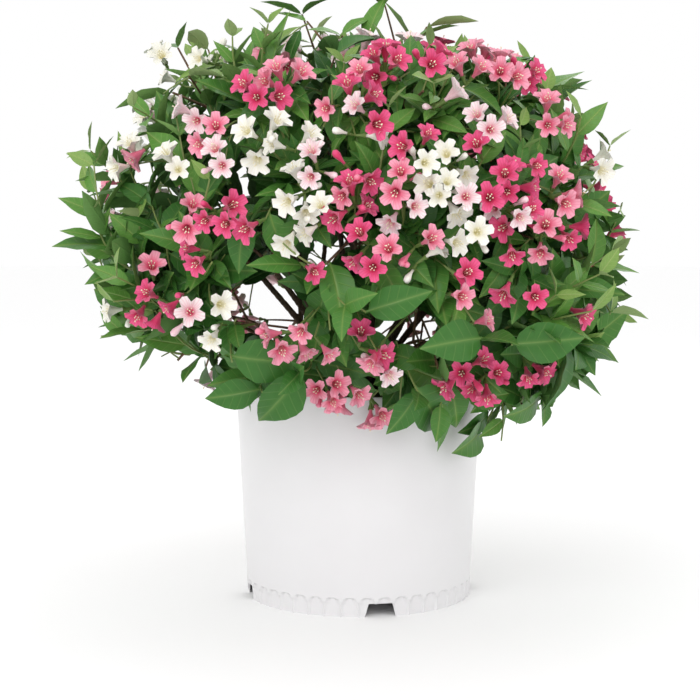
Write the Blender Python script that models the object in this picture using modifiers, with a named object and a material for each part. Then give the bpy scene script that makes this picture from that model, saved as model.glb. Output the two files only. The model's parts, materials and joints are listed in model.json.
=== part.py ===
"""A weigela in full flower, grown as one clump in a round white nursery pot.

A short root crown stands on the potting mix. Eleven limbs rise from it and sixteen more fork from
those, so that each mass of foliage hangs on a limb of its own. A mass is one stem with pairs of
twigs, which carry leaves in pairs and open trumpet flowers, and it keeps to its own part of the
crown. Metres, +Z up, origin on the floor under the middle of the pot, the front towards -Y.
"""

import itertools
import math
import random

import bmesh
import bpy
import numpy as np
from mathutils import Matrix, Vector

# Clearance between neighbouring solids, and the distance within which corners are one
GAP = 0.0003
WELD = 0.00002
SEED = 41

# The pot, with a drainage notch just right of its front
POT_HEIGHT = 0.241
POT_TOP_RADIUS = 0.1395
POT_FOOT_RADIUS = 0.1270
POT_WALL = 0.0022
POT_SIDES = 44
FLOOR_UNDERSIDE = 0.0160
FLOOR_THICKNESS = 0.0030
NOTCHES = 4
NOTCH_AZIMUTH = -79
NOTCH_WIDTH = 0.042
NOTCH_TOP_WIDTH = 0.026
NOTCH_HEIGHT = 0.0145
NOTCH_DEPTH = 0.030

# The potting mix, and the root crown with the stubs that its limbs rise from
MIX_TOP = 0.219
ROOT_CROWN_RISE = 0.034
ROOT_CROWN_FOOT = 0.036
ROOT_CROWN_NECK = 0.020
ROOT_CROWN_CUTS = (0.25, 0.62)
ROOT_CROWN_SIDES = 15
ROOT_LOBES = 5
ROOT_LOBE_SWELL = 0.16
FLARE_POWER = 2.2
SHOULDER = 0.6
SHOULDER_INSET = 0.45
STUB_HEIGHT = 0.72
STUB_REACH = 0.016
STUB_SIDES = 6
STUB_SWELL = 1.25

# The outline that the tips of the leaves reach, a rounded box round the crown's centre
CROWN_CENTRE = np.array((-0.002, 0.0, 0.420))
CROWN_HALF_WIDTH = 0.310
CROWN_HALF_DEPTH = 0.292
CROWN_RISE = 0.251
CROWN_DROP = 0.246
CROWN_POWER = 2.4
POT_CLEARANCE = 0.004

# The tiers of masses: how many, the azimuth of the first, the elevation of their tips seen from the
# crown's centre, and how far from the axis and how high their limbs end
TIERS = {
    "mid": {"count": 8, "azimuth": -90.0, "elevation": -2, "limb_reach": 0.120, "limb_height": 0.375},
    "low": {"count": 8, "azimuth": -67.5, "elevation": -35, "limb_reach": 0.125, "limb_height": 0.300},
    "high": {"count": 8, "azimuth": -112.5, "elevation": 34, "limb_reach": 0.098, "limb_height": 0.462},
    "top": {"count": 3, "azimuth": -100.0, "elevation": 72, "limb_reach": 0.032, "limb_height": 0.480},
}
AZIMUTH_JITTER = 4.0
HEIGHT_JITTER = 0.008
STEM_SHARE = 0.84
SITE_SHARE = 0.66
SPACE_MARGIN = 0.0008

# The limbs: radius at base and tip, points along them, and rounding of their section
LIMB_RADII = {
    "mid": (0.0046, 0.0030),
    "top": (0.0042, 0.0027),
    "low": (0.0031, 0.0022),
    "high": (0.0033, 0.0022),
}
LIMB_POINTS = {"mid": 5, "top": 5, "low": 4, "high": 4}
LIMB_ROUNDING = {"mid": 2, "top": 1, "low": 1, "high": 1}
LIMB_HEEL = 0.008
RISE_ANGLE = {"mid": 52, "top": 82}
RISE_SEAT = {"mid": 0.0130, "top": 0.0075}
FORK_SHARE = {"low": 0.36, "high": 0.60}
FORK_LIFT = {"low": -0.18, "high": 0.30}
BEND_REACH = 0.5

# The stem and twigs of a mass
STEM_RADIUS = 0.0021
STEM_HEEL = 0.010
STEM_BENDS = 4
TWIG_RADIUS = 0.0014
TWIG_TAPER = 0.8
TWIG_NODES = (0.28, 0.54, 0.80)
TWIG_ANGLE = 58
TWIG_ANGLE_JITTER = 8
TWIG_SPIN_JITTER = 0.3
TWIG_LENGTH = 0.099
TWIG_SHORTENING = 0.29
TWIG_LENGTH_RANGE = (0.85, 1.15)
TWIG_TRIES = (1.0, 0.85, 0.7, 0.55)
TWIG_PULL = {"low": -0.10, "mid": 0.18, "high": 0.35, "top": 0.45}
LIMB_CLEARANCE = 0.0035
LINE_SPACING = 0.006

# The leaves, in pairs
LEAF_LENGTH = {"low": 0.094, "mid": 0.090, "high": 0.082, "top": 0.076}
LEAF_LENGTH_RANGE = (0.9, 1.1)
LEAF_WIDTH = 0.50
LEAF_WIDEST = 0.44
LEAF_THICKNESS = 0.0022
LEAF_ARCH = 0.05
LEAF_OPENING = 56
LEAF_TILTS = (0, -18, 18, -36, 34)
LEAF_TURNS = (0, 28, -28)
LEAF_SIZES = (1.0, 0.86, 0.72)
LEAF_SPACING = 0.009
LEAF_ROOM = 0.026
LEAF_SINK = 0.0030
SPOT_RANGE = (0.18, 0.96)
SPOT_ROWS = 8
SPOT_SPREAD = 0.6
STEM_LEAF_NODES = (0.66, 0.40, 0.16)
TWIG_LEAF_NODE = 0.52
MOST_LEAVES = 14

# The flowers, one at a head
FLOWER_SHARE = 0.72
FLOWER_REACH = 0.040
FLOWER_RADIUS = 0.0230
FLOWER_NOTCH = 0.64
FLOWER_NOTCH_DROP = 0.10
FLOWER_THROAT = 0.45
FLOWER_TILT_RANGE = (6, 18)
FLOWER_SINK = 0.0016
LOBES = 5
TINTS = {
    "mid": ("rose", "rose", "rose", "pink", "blush", "pink", "pink", "rose"),
    "low": ("pink", "rose", "pink", "pink", "white", "pink", "blush", "pink"),
    "high": ("blush", "pink", "pink", "rose", "pink", "blush", "white", "white"),
    "top": ("pink", "rose", "blush"),
}

COLOURS = {
    "pot": ((0.86, 0.86, 0.87), 0.42),
    "mix": ((0.055, 0.038, 0.026), 0.95),
    "bark": ((0.16, 0.095, 0.055), 0.85),
    "leaf": ((0.075, 0.185, 0.045), 0.50),
    "white": ((0.87, 0.85, 0.79), 0.55),
    "blush": ((0.86, 0.55, 0.60), 0.55),
    "pink": ((0.83, 0.30, 0.42), 0.55),
    "rose": ((0.76, 0.10, 0.22), 0.55),
}


def clear_scene():
    for thing in list(bpy.data.objects):
        bpy.data.objects.remove(thing)


def collection(name):
    made = bpy.data.collections.new(name)
    bpy.context.scene.collection.children.link(made)
    return made


def material(name):
    colour, roughness = COLOURS[name]
    made = bpy.data.materials.new(name)
    made.use_nodes = True
    shader = made.node_tree.nodes["Principled BSDF"]
    shader.inputs["Base Color"].default_value = (*colour, 1)
    shader.inputs["Roughness"].default_value = roughness
    shader.inputs["Metallic"].default_value = 0
    return made


def put(name, mesh, home, finish=None):
    made = bpy.data.objects.new(name, mesh)
    home.objects.link(made)
    if finish:
        made.data.materials.append(finish)
    return made


def mesh_from(build, name):
    """A mesh filled in by build, which gets an empty bmesh."""
    shape = bmesh.new()
    build(shape)
    mesh = bpy.data.meshes.new(name)
    shape.to_mesh(mesh)
    shape.free()
    return mesh


def evaluated_mesh(thing):
    graph = bpy.context.evaluated_depsgraph_get()
    return bpy.data.meshes.new_from_object(thing.evaluated_get(graph))


def apply_modifiers(thing):
    mesh = evaluated_mesh(thing)
    thing.modifiers.clear()
    thing.data = mesh


def turned(name, home, profile, finish):
    """A round solid from its outline, which runs from the axis down the outer side and back."""
    mesh = bpy.data.meshes.new(name)
    edges = [(index, index + 1) for index in range(len(profile) - 1)]
    mesh.from_pydata([(radius, 0, height) for radius, height in profile], edges, [])
    made = put(name, mesh, home, finish)
    screw = made.modifiers.new("turn", "SCREW")
    screw.steps = POT_SIDES
    screw.render_steps = POT_SIDES
    screw.use_merge_vertices = True
    screw.merge_threshold = WELD
    screw.use_smooth_shade = False
    return made


# The pot and what fills it


def pot_radius(height):
    return POT_FOOT_RADIUS + (POT_TOP_RADIUS - POT_FOOT_RADIUS) * height / POT_HEIGHT


def make_pot(parts, cutters, finish):
    """A tapered wall with a plain rim, a floor raised off the ground, and notches in its foot."""
    floor = FLOOR_UNDERSIDE + FLOOR_THICKNESS
    profile = [
        (0, floor),
        (pot_radius(floor) - POT_WALL, floor),
        (pot_radius(POT_HEIGHT) - POT_WALL, POT_HEIGHT),
        (pot_radius(POT_HEIGHT), POT_HEIGHT),
        (pot_radius(0), 0),
        (pot_radius(0) - POT_WALL, 0),
        (pot_radius(FLOOR_UNDERSIDE) - POT_WALL, FLOOR_UNDERSIDE),
        (0, FLOOR_UNDERSIDE),
    ]
    pot = turned("pot", parts, profile, finish)
    for index in range(NOTCHES):
        cut = pot.modifiers.new("notch", "BOOLEAN")
        cut.operation = "DIFFERENCE"
        cut.object = notch_cutter(index, cutters)


def notch_cutter(index, cutters):
    """A block with sloping ends, across the wall at the foot."""

    def build(shape):
        bmesh.ops.create_cube(shape, size=1)
        for corner in shape.verts:
            upper = corner.co.z > 0
            width = NOTCH_TOP_WIDTH if upper else NOTCH_WIDTH
            corner.co.x = POT_FOOT_RADIUS + corner.co.x * NOTCH_DEPTH
            corner.co.y *= width
            corner.co.z = NOTCH_HEIGHT if upper else -NOTCH_HEIGHT

    cutter = put(f"notch_{index + 1}", mesh_from(build, "notch"), cutters)
    cutter.rotation_euler.z = math.radians(NOTCH_AZIMUTH + index * 360 / NOTCHES)
    cutter.hide_render = True
    cutter.display_type = "WIRE"
    return cutter


def make_mix(parts, finish):
    """The potting mix: a plain frustum that fills the pot to just under its rim."""
    bottom = FLOOR_UNDERSIDE + FLOOR_THICKNESS + GAP
    inset = POT_WALL + 2 * GAP
    top_edge = (pot_radius(MIX_TOP) - inset, MIX_TOP)
    bottom_edge = (pot_radius(bottom) - inset, bottom)
    turned("potting_mix", parts, [(0, MIX_TOP), top_edge, bottom_edge, (0, bottom)], finish)


# Directions, bends and the crown's outline


def heading(azimuth, elevation=0):
    turn, lift = math.radians(azimuth), math.radians(elevation)
    return np.array((math.cos(turn) * math.cos(lift), math.sin(turn) * math.cos(lift), math.sin(lift)))


def unit(vector):
    return vector / np.linalg.norm(vector)


def turned_from(axis, spin, angle):
    """The direction at an angle from axis, on the side that spin picks."""
    helper = np.array((0.0, 0.0, 1.0)) if abs(axis[2]) < 0.9 else np.array((1.0, 0.0, 0.0))
    side = unit(np.cross(axis, helper))
    across = math.cos(spin) * side + math.sin(spin) * np.cross(axis, side)
    return math.cos(angle) * axis + math.sin(angle) * across


def bend(start, way, end, count):
    """Points on a curve that leaves start along way and runs to end."""
    middle = start + way * np.linalg.norm(end - start) * BEND_REACH
    shares = np.linspace(0, 1, count)[:, None]
    return (1 - shares) ** 2 * start + 2 * shares * (1 - shares) * middle + shares**2 * end


def heeled_bend(start, way, heel, end, count):
    """A bend with a straight heel before it, so that its flat foot lies square to way."""
    return np.concatenate([[start], bend(start + way * heel, way, end, count - 1)])


def at_share(points, share):
    """The place and direction at a share of the way along a line of points."""
    place = share * (len(points) - 1)
    index = min(int(place), len(points) - 2)
    step = points[index + 1] - points[index]
    return points[index] + step * (place - index), unit(step)


def along_line(start, end):
    count = 2 + int(np.linalg.norm(end - start) / LINE_SPACING)
    return start + (end - start) * np.linspace(0, 1, count)[:, None]


def outline_share(points):
    """How far out each point lies: 1 on the crown's outline, less inside it."""
    away = np.atleast_2d(points) - CROWN_CENTRE
    height = np.where(away[:, 2] > 0, CROWN_RISE, CROWN_DROP)
    reach = np.stack([np.full(len(away), CROWN_HALF_WIDTH), np.full(len(away), CROWN_HALF_DEPTH), height], 1)
    return ((np.abs(away) / reach) ** CROWN_POWER).sum(1) ** (1 / CROWN_POWER)


def outline_reach(way):
    """From the crown's centre to its outline along way."""
    return way / outline_share(CROWN_CENTRE + way)[0]


# Where each limb and mass goes


def lay_out():
    """The limbs and masses as plain records, each limb before the forks that leave it."""
    dice = random.Random(SEED)
    limbs, masses = {}, []
    for tier, plan in TIERS.items():
        for index in range(plan["count"]):
            azimuth = plan["azimuth"] + index * 360 / plan["count"] + dice.uniform(-1, 1) * AZIMUTH_JITTER
            height = plan["limb_height"] + dice.uniform(-1, 1) * HEIGHT_JITTER
            end = plan["limb_reach"] * heading(azimuth) + np.array((0, 0, height))
            if tier in FORK_SHARE:
                limb = fork(limbs[f"mid_{index + 1}"], tier, end)
            else:
                limb = rise(azimuth, tier, end)
            reach = outline_reach(heading(azimuth, plan["elevation"]))
            name = f"{tier}_{index + 1}"
            limbs[name] = limb
            masses.append(
                {
                    "name": name,
                    "tier": tier,
                    "tint": TINTS[tier][index],
                    "seed": SEED + 100 * len(masses),
                    "limb": limb,
                    "tip": CROWN_CENTRE + STEM_SHARE * reach,
                    "site": CROWN_CENTRE + SITE_SHARE * reach,
                }
            )
    return limbs, masses


def rise(azimuth, tier, end):
    """A limb that starts on a stub of the root crown."""
    way = heading(azimuth, RISE_ANGLE[tier])
    height = MIX_TOP + GAP + ROOT_CROWN_RISE * STUB_HEIGHT
    seat = RISE_SEAT[tier] * heading(azimuth) + np.array((0, 0, height))
    start = seat + way * (STUB_REACH + GAP)
    points = heeled_bend(start, way, LIMB_HEEL, end, LIMB_POINTS[tier])
    return {"tier": tier, "points": points, "seat": seat, "way": way}


def fork(parent, tier, end):
    """A limb that leaves another one's side, its foot clear of it by the gap."""
    place, along = at_share(parent["points"], FORK_SHARE[tier])
    way = unit(unit(end - place) + np.array((0, 0, FORK_LIFT[tier])))
    side = unit(way - along * way.dot(along))
    slope = abs(way.dot(along))
    clear = radius_at(parent, FORK_SHARE[tier]) + GAP + LIMB_RADII[tier][0] * slope
    return {"tier": tier, "points": bend(place + side * clear, way, end, LIMB_POINTS[tier])}


def radius_at(limb, share):
    base, tip = LIMB_RADII[limb["tier"]]
    return base + (tip - base) * share


# The space that a mass keeps to


class Room:
    """A mass's share of the crown, off the pot and the limbs, and what it already holds."""

    def __init__(self, mass, masses, limbs):
        others = np.array([other["site"] for other in masses if other is not mass])
        self.middles = (others + mass["site"]) / 2
        self.ways = (others - mass["site"]) / np.linalg.norm(others - mass["site"], axis=1)[:, None]
        self.starts = np.concatenate([limb["points"][:-1] for limb in limbs.values()])
        self.steps = np.concatenate([np.diff(limb["points"], axis=0) for limb in limbs.values()])
        self.radii = np.concatenate(
            [np.full(len(limb["points"]) - 1, LIMB_RADII[limb["tier"]][0]) for limb in limbs.values()]
        )
        self.taken = []

    def fits(self, points):
        """True if every point lies in this share of the crown and clear of the pot and the limbs."""
        if outline_share(points).max() > 1:
            return False
        over_pot = np.hypot(points[:, 0], points[:, 1]) < POT_TOP_RADIUS + POT_CLEARANCE
        if (over_pot & (points[:, 2] < POT_HEIGHT + POT_CLEARANCE)).any():
            return False
        past_middle = ((points[:, None] - self.middles) * self.ways).sum(2)
        if past_middle.max() > -SPACE_MARGIN:
            return False
        away = points[:, None] - self.starts
        share = ((away * self.steps).sum(2) / (self.steps**2).sum(1)).clip(0, 1)
        distance = np.linalg.norm(away - share[..., None] * self.steps, axis=2)
        return bool((distance > self.radii + LIMB_CLEARANCE).all())

    def spare(self, points):
        """The least distance from the points to what is already taken."""
        if not self.taken:
            return math.inf
        return float(np.linalg.norm(points[:, None] - np.concatenate(self.taken), axis=2).min())


# How a mass grows


def grow_heads(mass, room):
    """The stem of a mass and its heads: the stem's own end, and pairs of twigs a quarter turn apart."""
    dice = random.Random(mass["seed"])
    limb_end, way = at_share(mass["limb"]["points"], 1)
    stem = heeled_bend(limb_end + way * GAP, way, STEM_HEEL, mass["tip"], STEM_BENDS + 1)
    roll = dice.uniform(0, math.pi)
    heads = []
    add_head(heads, room, dice, stem[-2], stem[-1] - stem[-2], (1.0,))
    for order, share in enumerate(TWIG_NODES):
        place, along = at_share(stem, share)
        for side in (0, math.pi):
            spin = roll + order * math.pi / 2 + side + dice.uniform(-1, 1) * TWIG_SPIN_JITTER
            angle = math.radians(TWIG_ANGLE + dice.uniform(-1, 1) * TWIG_ANGLE_JITTER)
            way = unit(turned_from(along, spin, angle) + np.array((0, 0, TWIG_PULL[mass["tier"]])))
            length = TWIG_LENGTH * (1 - TWIG_SHORTENING * share) * dice.uniform(*TWIG_LENGTH_RANGE)
            add_head(heads, room, dice, place, way * length, TWIG_TRIES)
    room.taken.extend(along_line(head["start"], head["end"]) for head in heads)
    return stem, heads


def add_head(heads, room, dice, start, reach, tries):
    """Adds the longest head that fits, with its flower if it has one and there is room for it."""
    way = unit(reach)
    roll = dice.uniform(0, math.pi)
    aim = turned_from(way, roll + math.pi / 2, math.radians(dice.uniform(*FLOWER_TILT_RANGE)))
    head = {"start": start, "way": way, "roll": roll, "aim": aim}
    for flowers in (True, False) if dice.random() < FLOWER_SHARE else (False,):
        for size in tries:
            end = start + reach * size
            bloom = flower_spots(end, aim)
            line = along_line(start + way * STEM_RADIUS * 2, end)
            if not room.fits(np.concatenate([line, bloom]) if flowers else line):
                continue
            if flowers and room.spare(bloom) < LEAF_SPACING:
                continue
            if flowers:
                room.taken.append(bloom)
            heads.append({**head, "end": end, "flowers": flowers})
            return


def flower_spots(root, aim):
    """Places on a flower's axis and round its rim."""
    mouth = root + aim * FLOWER_REACH
    outwards = [turned_from(aim, math.pi * index / LOBES, math.pi / 2) for index in range(2 * LOBES)]
    return np.array([(root + mouth) / 2, mouth, *(mouth + FLOWER_RADIUS * way for way in outwards)])


def grow_leaves(mass, stem, heads, room):
    """Pairs of leaves at the heads, then part way along the twigs, then on the stem."""
    dice = random.Random(mass["seed"] + 1)
    places = [(head["end"] - head["way"] * LEAF_SINK, head["way"], head["roll"]) for head in heads]
    for head in heads[1:]:
        middle = head["start"] + (head["end"] - head["start"]) * TWIG_LEAF_NODE
        places.append((middle, head["way"], head["roll"] + math.pi / 2))
    places.extend((*at_share(stem, share), dice.uniform(0, math.pi)) for share in STEM_LEAF_NODES)
    leaves = []
    for root, axis, spin in places:
        for side in (0, math.pi):
            length = LEAF_LENGTH[mass["tier"]] * dice.uniform(*LEAF_LENGTH_RANGE)
            found = fit_leaf(root, axis, spin + side, length, room)
            if found and len(leaves) < MOST_LEAVES:
                room.taken.append(leaf_spots(found))
                leaves.append(found)
    return leaves


def fit_leaf(root, axis, spin, length, room):
    """The leaf with the most space round it, of those that the mass has room for."""
    best, most = None, 0
    for size, tilt, turn in itertools.product(LEAF_SIZES, LEAF_TILTS, LEAF_TURNS):
        along = turned_from(axis, spin + math.radians(turn), math.radians(LEAF_OPENING + tilt))
        normal = unit(axis - along * axis.dot(along))
        tried = {
            "root": root,
            "along": along,
            "across": np.cross(normal, along),
            "normal": normal,
            "length": length * size,
        }
        spots = leaf_spots(tried)
        space = min(room.spare(spots), LEAF_ROOM)
        if space < LEAF_SPACING or space * size <= most:
            continue
        if room.fits(np.concatenate([leaf_corners(tried), spots])):
            best, most = tried, space * size
    return best


def leaf_corners(leaf):
    """A leaf's root, tip, left and right edge, and the middle of its upper and lower side."""
    half = leaf["across"] * leaf["length"] * LEAF_WIDTH / 2
    thick = leaf["normal"] * LEAF_THICKNESS / 2
    waist = leaf["root"] + leaf["length"] * (leaf["along"] * LEAF_WIDEST + leaf["normal"] * LEAF_ARCH)
    tip = leaf["root"] + leaf["along"] * leaf["length"]
    return np.array((leaf["root"], tip, waist + half, waist - half, waist + thick, waist - thick))


def leaf_spots(leaf):
    """Places spread over a leaf's blade past its root, close enough to find what crosses it."""
    shares = np.linspace(*SPOT_RANGE, SPOT_ROWS)
    width = np.minimum(shares / LEAF_WIDEST, (1 - shares) / (1 - LEAF_WIDEST))[:, None]
    middle = leaf["root"] + leaf["along"] * leaf["length"] * shares[:, None]
    edge = SPOT_SPREAD * width * leaf["across"] * leaf["length"] * LEAF_WIDTH / 2
    return np.concatenate([middle, middle + edge, middle - edge])


# The solids


def place_along(thing, root, along, across, normal):
    """Puts a shape's X along, its Y across and its Z on the normal."""
    turn = Matrix((along, across, normal)).transposed().to_4x4()
    thing.matrix_world = Matrix.Translation(Vector(root)) @ turn


def place_on_axis(thing, root, axis):
    across = turned_from(axis, 0, math.pi / 2)
    place_along(thing, root, axis, across, np.cross(axis, across))


def lay_down(shape):
    """Turns a shape that stands on Z so that it lies along X."""
    bmesh.ops.rotate(shape, verts=shape.verts, matrix=Matrix.Rotation(math.pi / 2, 3, "Y"))


def rod(home, start, end, thick, thin, sides, finish):
    """A tapering rod with flat ends."""
    length = float(np.linalg.norm(end - start))

    def build(shape):
        bmesh.ops.create_cone(shape, cap_ends=True, segments=sides, radius1=thick, radius2=thin, depth=length)
        bmesh.ops.translate(shape, verts=shape.verts, vec=(0, 0, length / 2))
        lay_down(shape)

    place_on_axis(put("rod", mesh_from(build, "rod"), home, finish), start, unit(end - start))


def make_leaf(home, leaf, finish):
    """A pointed lozenge of eight faces, thickest and highest where it is widest."""

    def build(shape):
        bmesh.ops.create_uvsphere(shape, u_segments=4, v_segments=2, radius=1)
        for corner in shape.verts:
            x, y, z = corner.co
            at_end = abs(x) > 0.5
            corner.co.x = leaf["length"] * ((x > 0) if at_end else LEAF_WIDEST)
            corner.co.y = y * leaf["length"] * LEAF_WIDTH / 2
            corner.co.z = z * LEAF_THICKNESS / 2 + (0 if at_end else leaf["length"] * LEAF_ARCH)

    made = put("leaf", mesh_from(build, "leaf"), home, finish)
    place_along(made, leaf["root"], leaf["along"], leaf["across"], leaf["normal"])


def make_flower(home, root, aim, finish):
    """A trumpet: a pointed foot, five lobes round the mouth and a hollow throat."""

    def build(shape):
        bmesh.ops.create_uvsphere(shape, u_segments=2 * LOBES, v_segments=2, radius=1)
        for corner in shape.verts:
            if abs(corner.co.z) > 0.5:
                corner.co = (0, 0, 0 if corner.co.z < 0 else FLOWER_REACH * (1 - FLOWER_THROAT))
                continue
            step = round(math.atan2(corner.co.y, corner.co.x) * LOBES / math.pi)
            notch = step % 2 == 1
            corner.co.z = FLOWER_REACH * (1 - FLOWER_NOTCH_DROP * notch)
            corner.co.xy *= FLOWER_RADIUS * (FLOWER_NOTCH if notch else 1)
        lay_down(shape)

    place_on_axis(put("flower", mesh_from(build, "flower"), home, finish), root, aim)


def tube(name, home, points, base, tip, rounding, finish):
    """A tapering tube along a line of points: a curve with flat filled ends, made a mesh."""
    curve = bpy.data.curves.new(name, "CURVE")
    curve.dimensions = "3D"
    curve.bevel_depth = base
    curve.bevel_resolution = rounding
    curve.use_fill_caps = True
    line = curve.splines.new("POLY")
    line.points.add(len(points) - 1)
    for index, (point, place) in enumerate(zip(line.points, points)):
        point.co = (*place, 1)
        point.radius = 1 + (tip / base - 1) * index / (len(points) - 1)
    guide = put(name + "_line", curve, home)
    mesh = evaluated_mesh(guide)
    bpy.data.objects.remove(guide)
    closed = bmesh.new()
    closed.from_mesh(mesh)
    bmesh.ops.remove_doubles(closed, verts=closed.verts, dist=WELD)
    closed.to_mesh(mesh)
    closed.free()
    return put(name, mesh, home, finish)


def fuse(body, loose):
    """Joins everything in loose to body with one union, then removes the loose pieces."""
    join = body.modifiers.new("fuse", "BOOLEAN")
    join.operation = "UNION"
    join.operand_type = "COLLECTION"
    join.collection = loose
    join.solver = "MANIFOLD"
    join.material_mode = "TRANSFER"
    apply_modifiers(body)
    for piece in list(loose.objects):
        bpy.data.objects.remove(piece)
    keep_largest_shell(body.data)


def keep_largest_shell(mesh):
    """Drops any loose scrap and fills any sealed hollow, by keeping only the largest shell."""
    shape = bmesh.new()
    shape.from_mesh(mesh)
    left, shells = set(shape.verts), []
    while left:
        front = [left.pop()]
        shell = list(front)
        while front:
            corner = front.pop()
            near = {edge.other_vert(corner) for edge in corner.link_edges} & left
            left -= near
            front.extend(near)
            shell.extend(near)
        shells.append(shell)
    shells.sort(key=len)
    bmesh.ops.delete(shape, geom=list(itertools.chain(*shells[:-1])), context="VERTS")
    shape.to_mesh(mesh)
    shape.free()


def make_root_crown(limbs, parts, loose, finish):
    """The woody base: a flat cut on the mix, a lobed root flare, and a stub for each limb that rises."""

    def build(shape):
        bmesh.ops.create_cone(
            shape, cap_ends=True, segments=ROOT_CROWN_SIDES, radius1=1, radius2=1, depth=ROOT_CROWN_RISE
        )
        bmesh.ops.translate(shape, verts=shape.verts, vec=(0, 0, ROOT_CROWN_RISE / 2))
        for share in ROOT_CROWN_CUTS:
            everything = shape.verts[:] + shape.edges[:] + shape.faces[:]
            level = (0, 0, share * ROOT_CROWN_RISE)
            bmesh.ops.bisect_plane(shape, geom=everything, plane_co=level, plane_no=(0, 0, 1))
        for corner in shape.verts:
            share = min(corner.co.z / ROOT_CROWN_RISE, 1)
            corner.co.xy *= root_crown_radius(share, math.atan2(corner.co.y, corner.co.x))
        bmesh.ops.translate(shape, verts=shape.verts, vec=(0, 0, MIX_TOP + GAP))

    crown = put("root_crown", mesh_from(build, "root_crown"), parts, finish)
    for limb in limbs.values():
        if "seat" in limb:
            thick = LIMB_RADII[limb["tier"]][0]
            stub_end = limb["seat"] + limb["way"] * STUB_REACH
            rod(loose, limb["seat"], stub_end, thick * STUB_SWELL, thick, STUB_SIDES, finish)
    fuse(crown, loose)


def root_crown_radius(share, turn):
    """The root crown's radius at a share of its height: lobed and flared at its foot, rounded on top."""
    flare = (1 - share) ** FLARE_POWER
    lobes = 1 + ROOT_LOBE_SWELL * flare * math.cos(ROOT_LOBES * turn)
    shoulder = 1 - SHOULDER_INSET * max(0, share - SHOULDER) / (1 - SHOULDER)
    return (ROOT_CROWN_NECK + (ROOT_CROWN_FOOT - ROOT_CROWN_NECK) * flare) * lobes * shoulder


def make_mass(mass, room, parts, loose, finishes):
    """One mass of foliage: its stem, with its twigs, leaves and flowers fused on."""
    stem, heads = grow_heads(mass, room)
    leaves = grow_leaves(mass, stem, heads, room)
    body = tube("foliage_" + mass["name"], parts, stem, STEM_RADIUS, TWIG_RADIUS, 0, finishes["bark"])
    for head in heads[1:]:
        rod(loose, head["start"], head["end"], TWIG_RADIUS, TWIG_RADIUS * TWIG_TAPER, 3, finishes["bark"])
    for leaf in leaves:
        make_leaf(loose, leaf, finishes["leaf"])
    for head in heads:
        if head["flowers"]:
            make_flower(loose, head["end"] - head["way"] * FLOWER_SINK, head["aim"], finishes[mass["tint"]])
    fuse(body, loose)
    return len(leaves), sum(head["flowers"] for head in heads)


def main():
    clear_scene()
    parts = collection("weigela")
    cutters = collection("cutters")
    loose = collection("loose_pieces")
    finishes = {name: material(name) for name in COLOURS}
    make_pot(parts, cutters, finishes["pot"])
    make_mix(parts, finishes["mix"])
    limbs, masses = lay_out()
    make_root_crown(limbs, parts, loose, finishes["bark"])
    for name, limb in limbs.items():
        base, tip = LIMB_RADII[limb["tier"]]
        tube("limb_" + name, parts, limb["points"], base, tip, LIMB_ROUNDING[limb["tier"]], finishes["bark"])
    counts = [make_mass(mass, Room(mass, masses, limbs), parts, loose, finishes) for mass in masses]
    leaves, flowers = map(sum, zip(*counts))
    print(len(limbs), "limbs,", len(masses), "masses,", leaves, "leaves and", flowers, "flowers")


main()
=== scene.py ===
# %% [markdown]
# # A weigela in full flower, in its nursery pot
#
# This lesson dresses a potted shrub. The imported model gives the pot, the boughs and 27 plain masses
# of foliage at their true size. Each step below says what a piece is on the real plant, how it
# could be made in Blender, and why this way was chosen.

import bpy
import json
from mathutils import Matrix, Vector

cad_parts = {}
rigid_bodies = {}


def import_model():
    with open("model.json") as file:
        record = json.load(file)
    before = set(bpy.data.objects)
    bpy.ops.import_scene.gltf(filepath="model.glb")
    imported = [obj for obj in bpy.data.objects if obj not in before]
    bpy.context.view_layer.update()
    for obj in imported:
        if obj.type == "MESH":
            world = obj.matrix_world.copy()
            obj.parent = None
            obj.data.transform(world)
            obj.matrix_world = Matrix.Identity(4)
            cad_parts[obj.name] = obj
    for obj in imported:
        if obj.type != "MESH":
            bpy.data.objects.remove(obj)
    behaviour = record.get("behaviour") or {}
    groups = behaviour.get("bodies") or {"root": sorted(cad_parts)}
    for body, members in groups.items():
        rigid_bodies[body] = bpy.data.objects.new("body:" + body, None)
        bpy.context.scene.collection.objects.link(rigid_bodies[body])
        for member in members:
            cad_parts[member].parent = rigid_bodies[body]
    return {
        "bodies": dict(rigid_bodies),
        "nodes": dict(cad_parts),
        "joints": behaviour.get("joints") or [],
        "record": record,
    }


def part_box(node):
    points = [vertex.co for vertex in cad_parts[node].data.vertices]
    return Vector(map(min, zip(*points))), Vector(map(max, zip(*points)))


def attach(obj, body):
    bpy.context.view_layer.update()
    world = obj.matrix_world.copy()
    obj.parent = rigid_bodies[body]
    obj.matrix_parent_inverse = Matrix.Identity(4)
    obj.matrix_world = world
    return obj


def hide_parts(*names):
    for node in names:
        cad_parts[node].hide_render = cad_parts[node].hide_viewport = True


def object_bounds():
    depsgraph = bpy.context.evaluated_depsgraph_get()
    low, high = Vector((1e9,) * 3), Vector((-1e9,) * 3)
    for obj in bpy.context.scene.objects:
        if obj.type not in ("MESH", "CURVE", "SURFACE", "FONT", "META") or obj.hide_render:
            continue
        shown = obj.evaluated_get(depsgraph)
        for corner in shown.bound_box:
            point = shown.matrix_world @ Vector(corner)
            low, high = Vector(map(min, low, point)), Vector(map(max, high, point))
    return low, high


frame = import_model()
cad_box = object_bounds()
print(len(frame["nodes"]), "nodes, box", [round(side, 3) for side in cad_box[1] - cad_box[0]])

# %% [markdown]
# ## Camera, floor and light
#
# The picture was taken from two metres away, a little above the middle of the plant, on white. A
# long lens at that distance gives the same gentle perspective. A big pale disc is the floor, the
# sky is plain white, and two wide lamps bring out the gloss on the leaves.

# %% Place the camera
import collections
import itertools
import json
import math
import random

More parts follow.
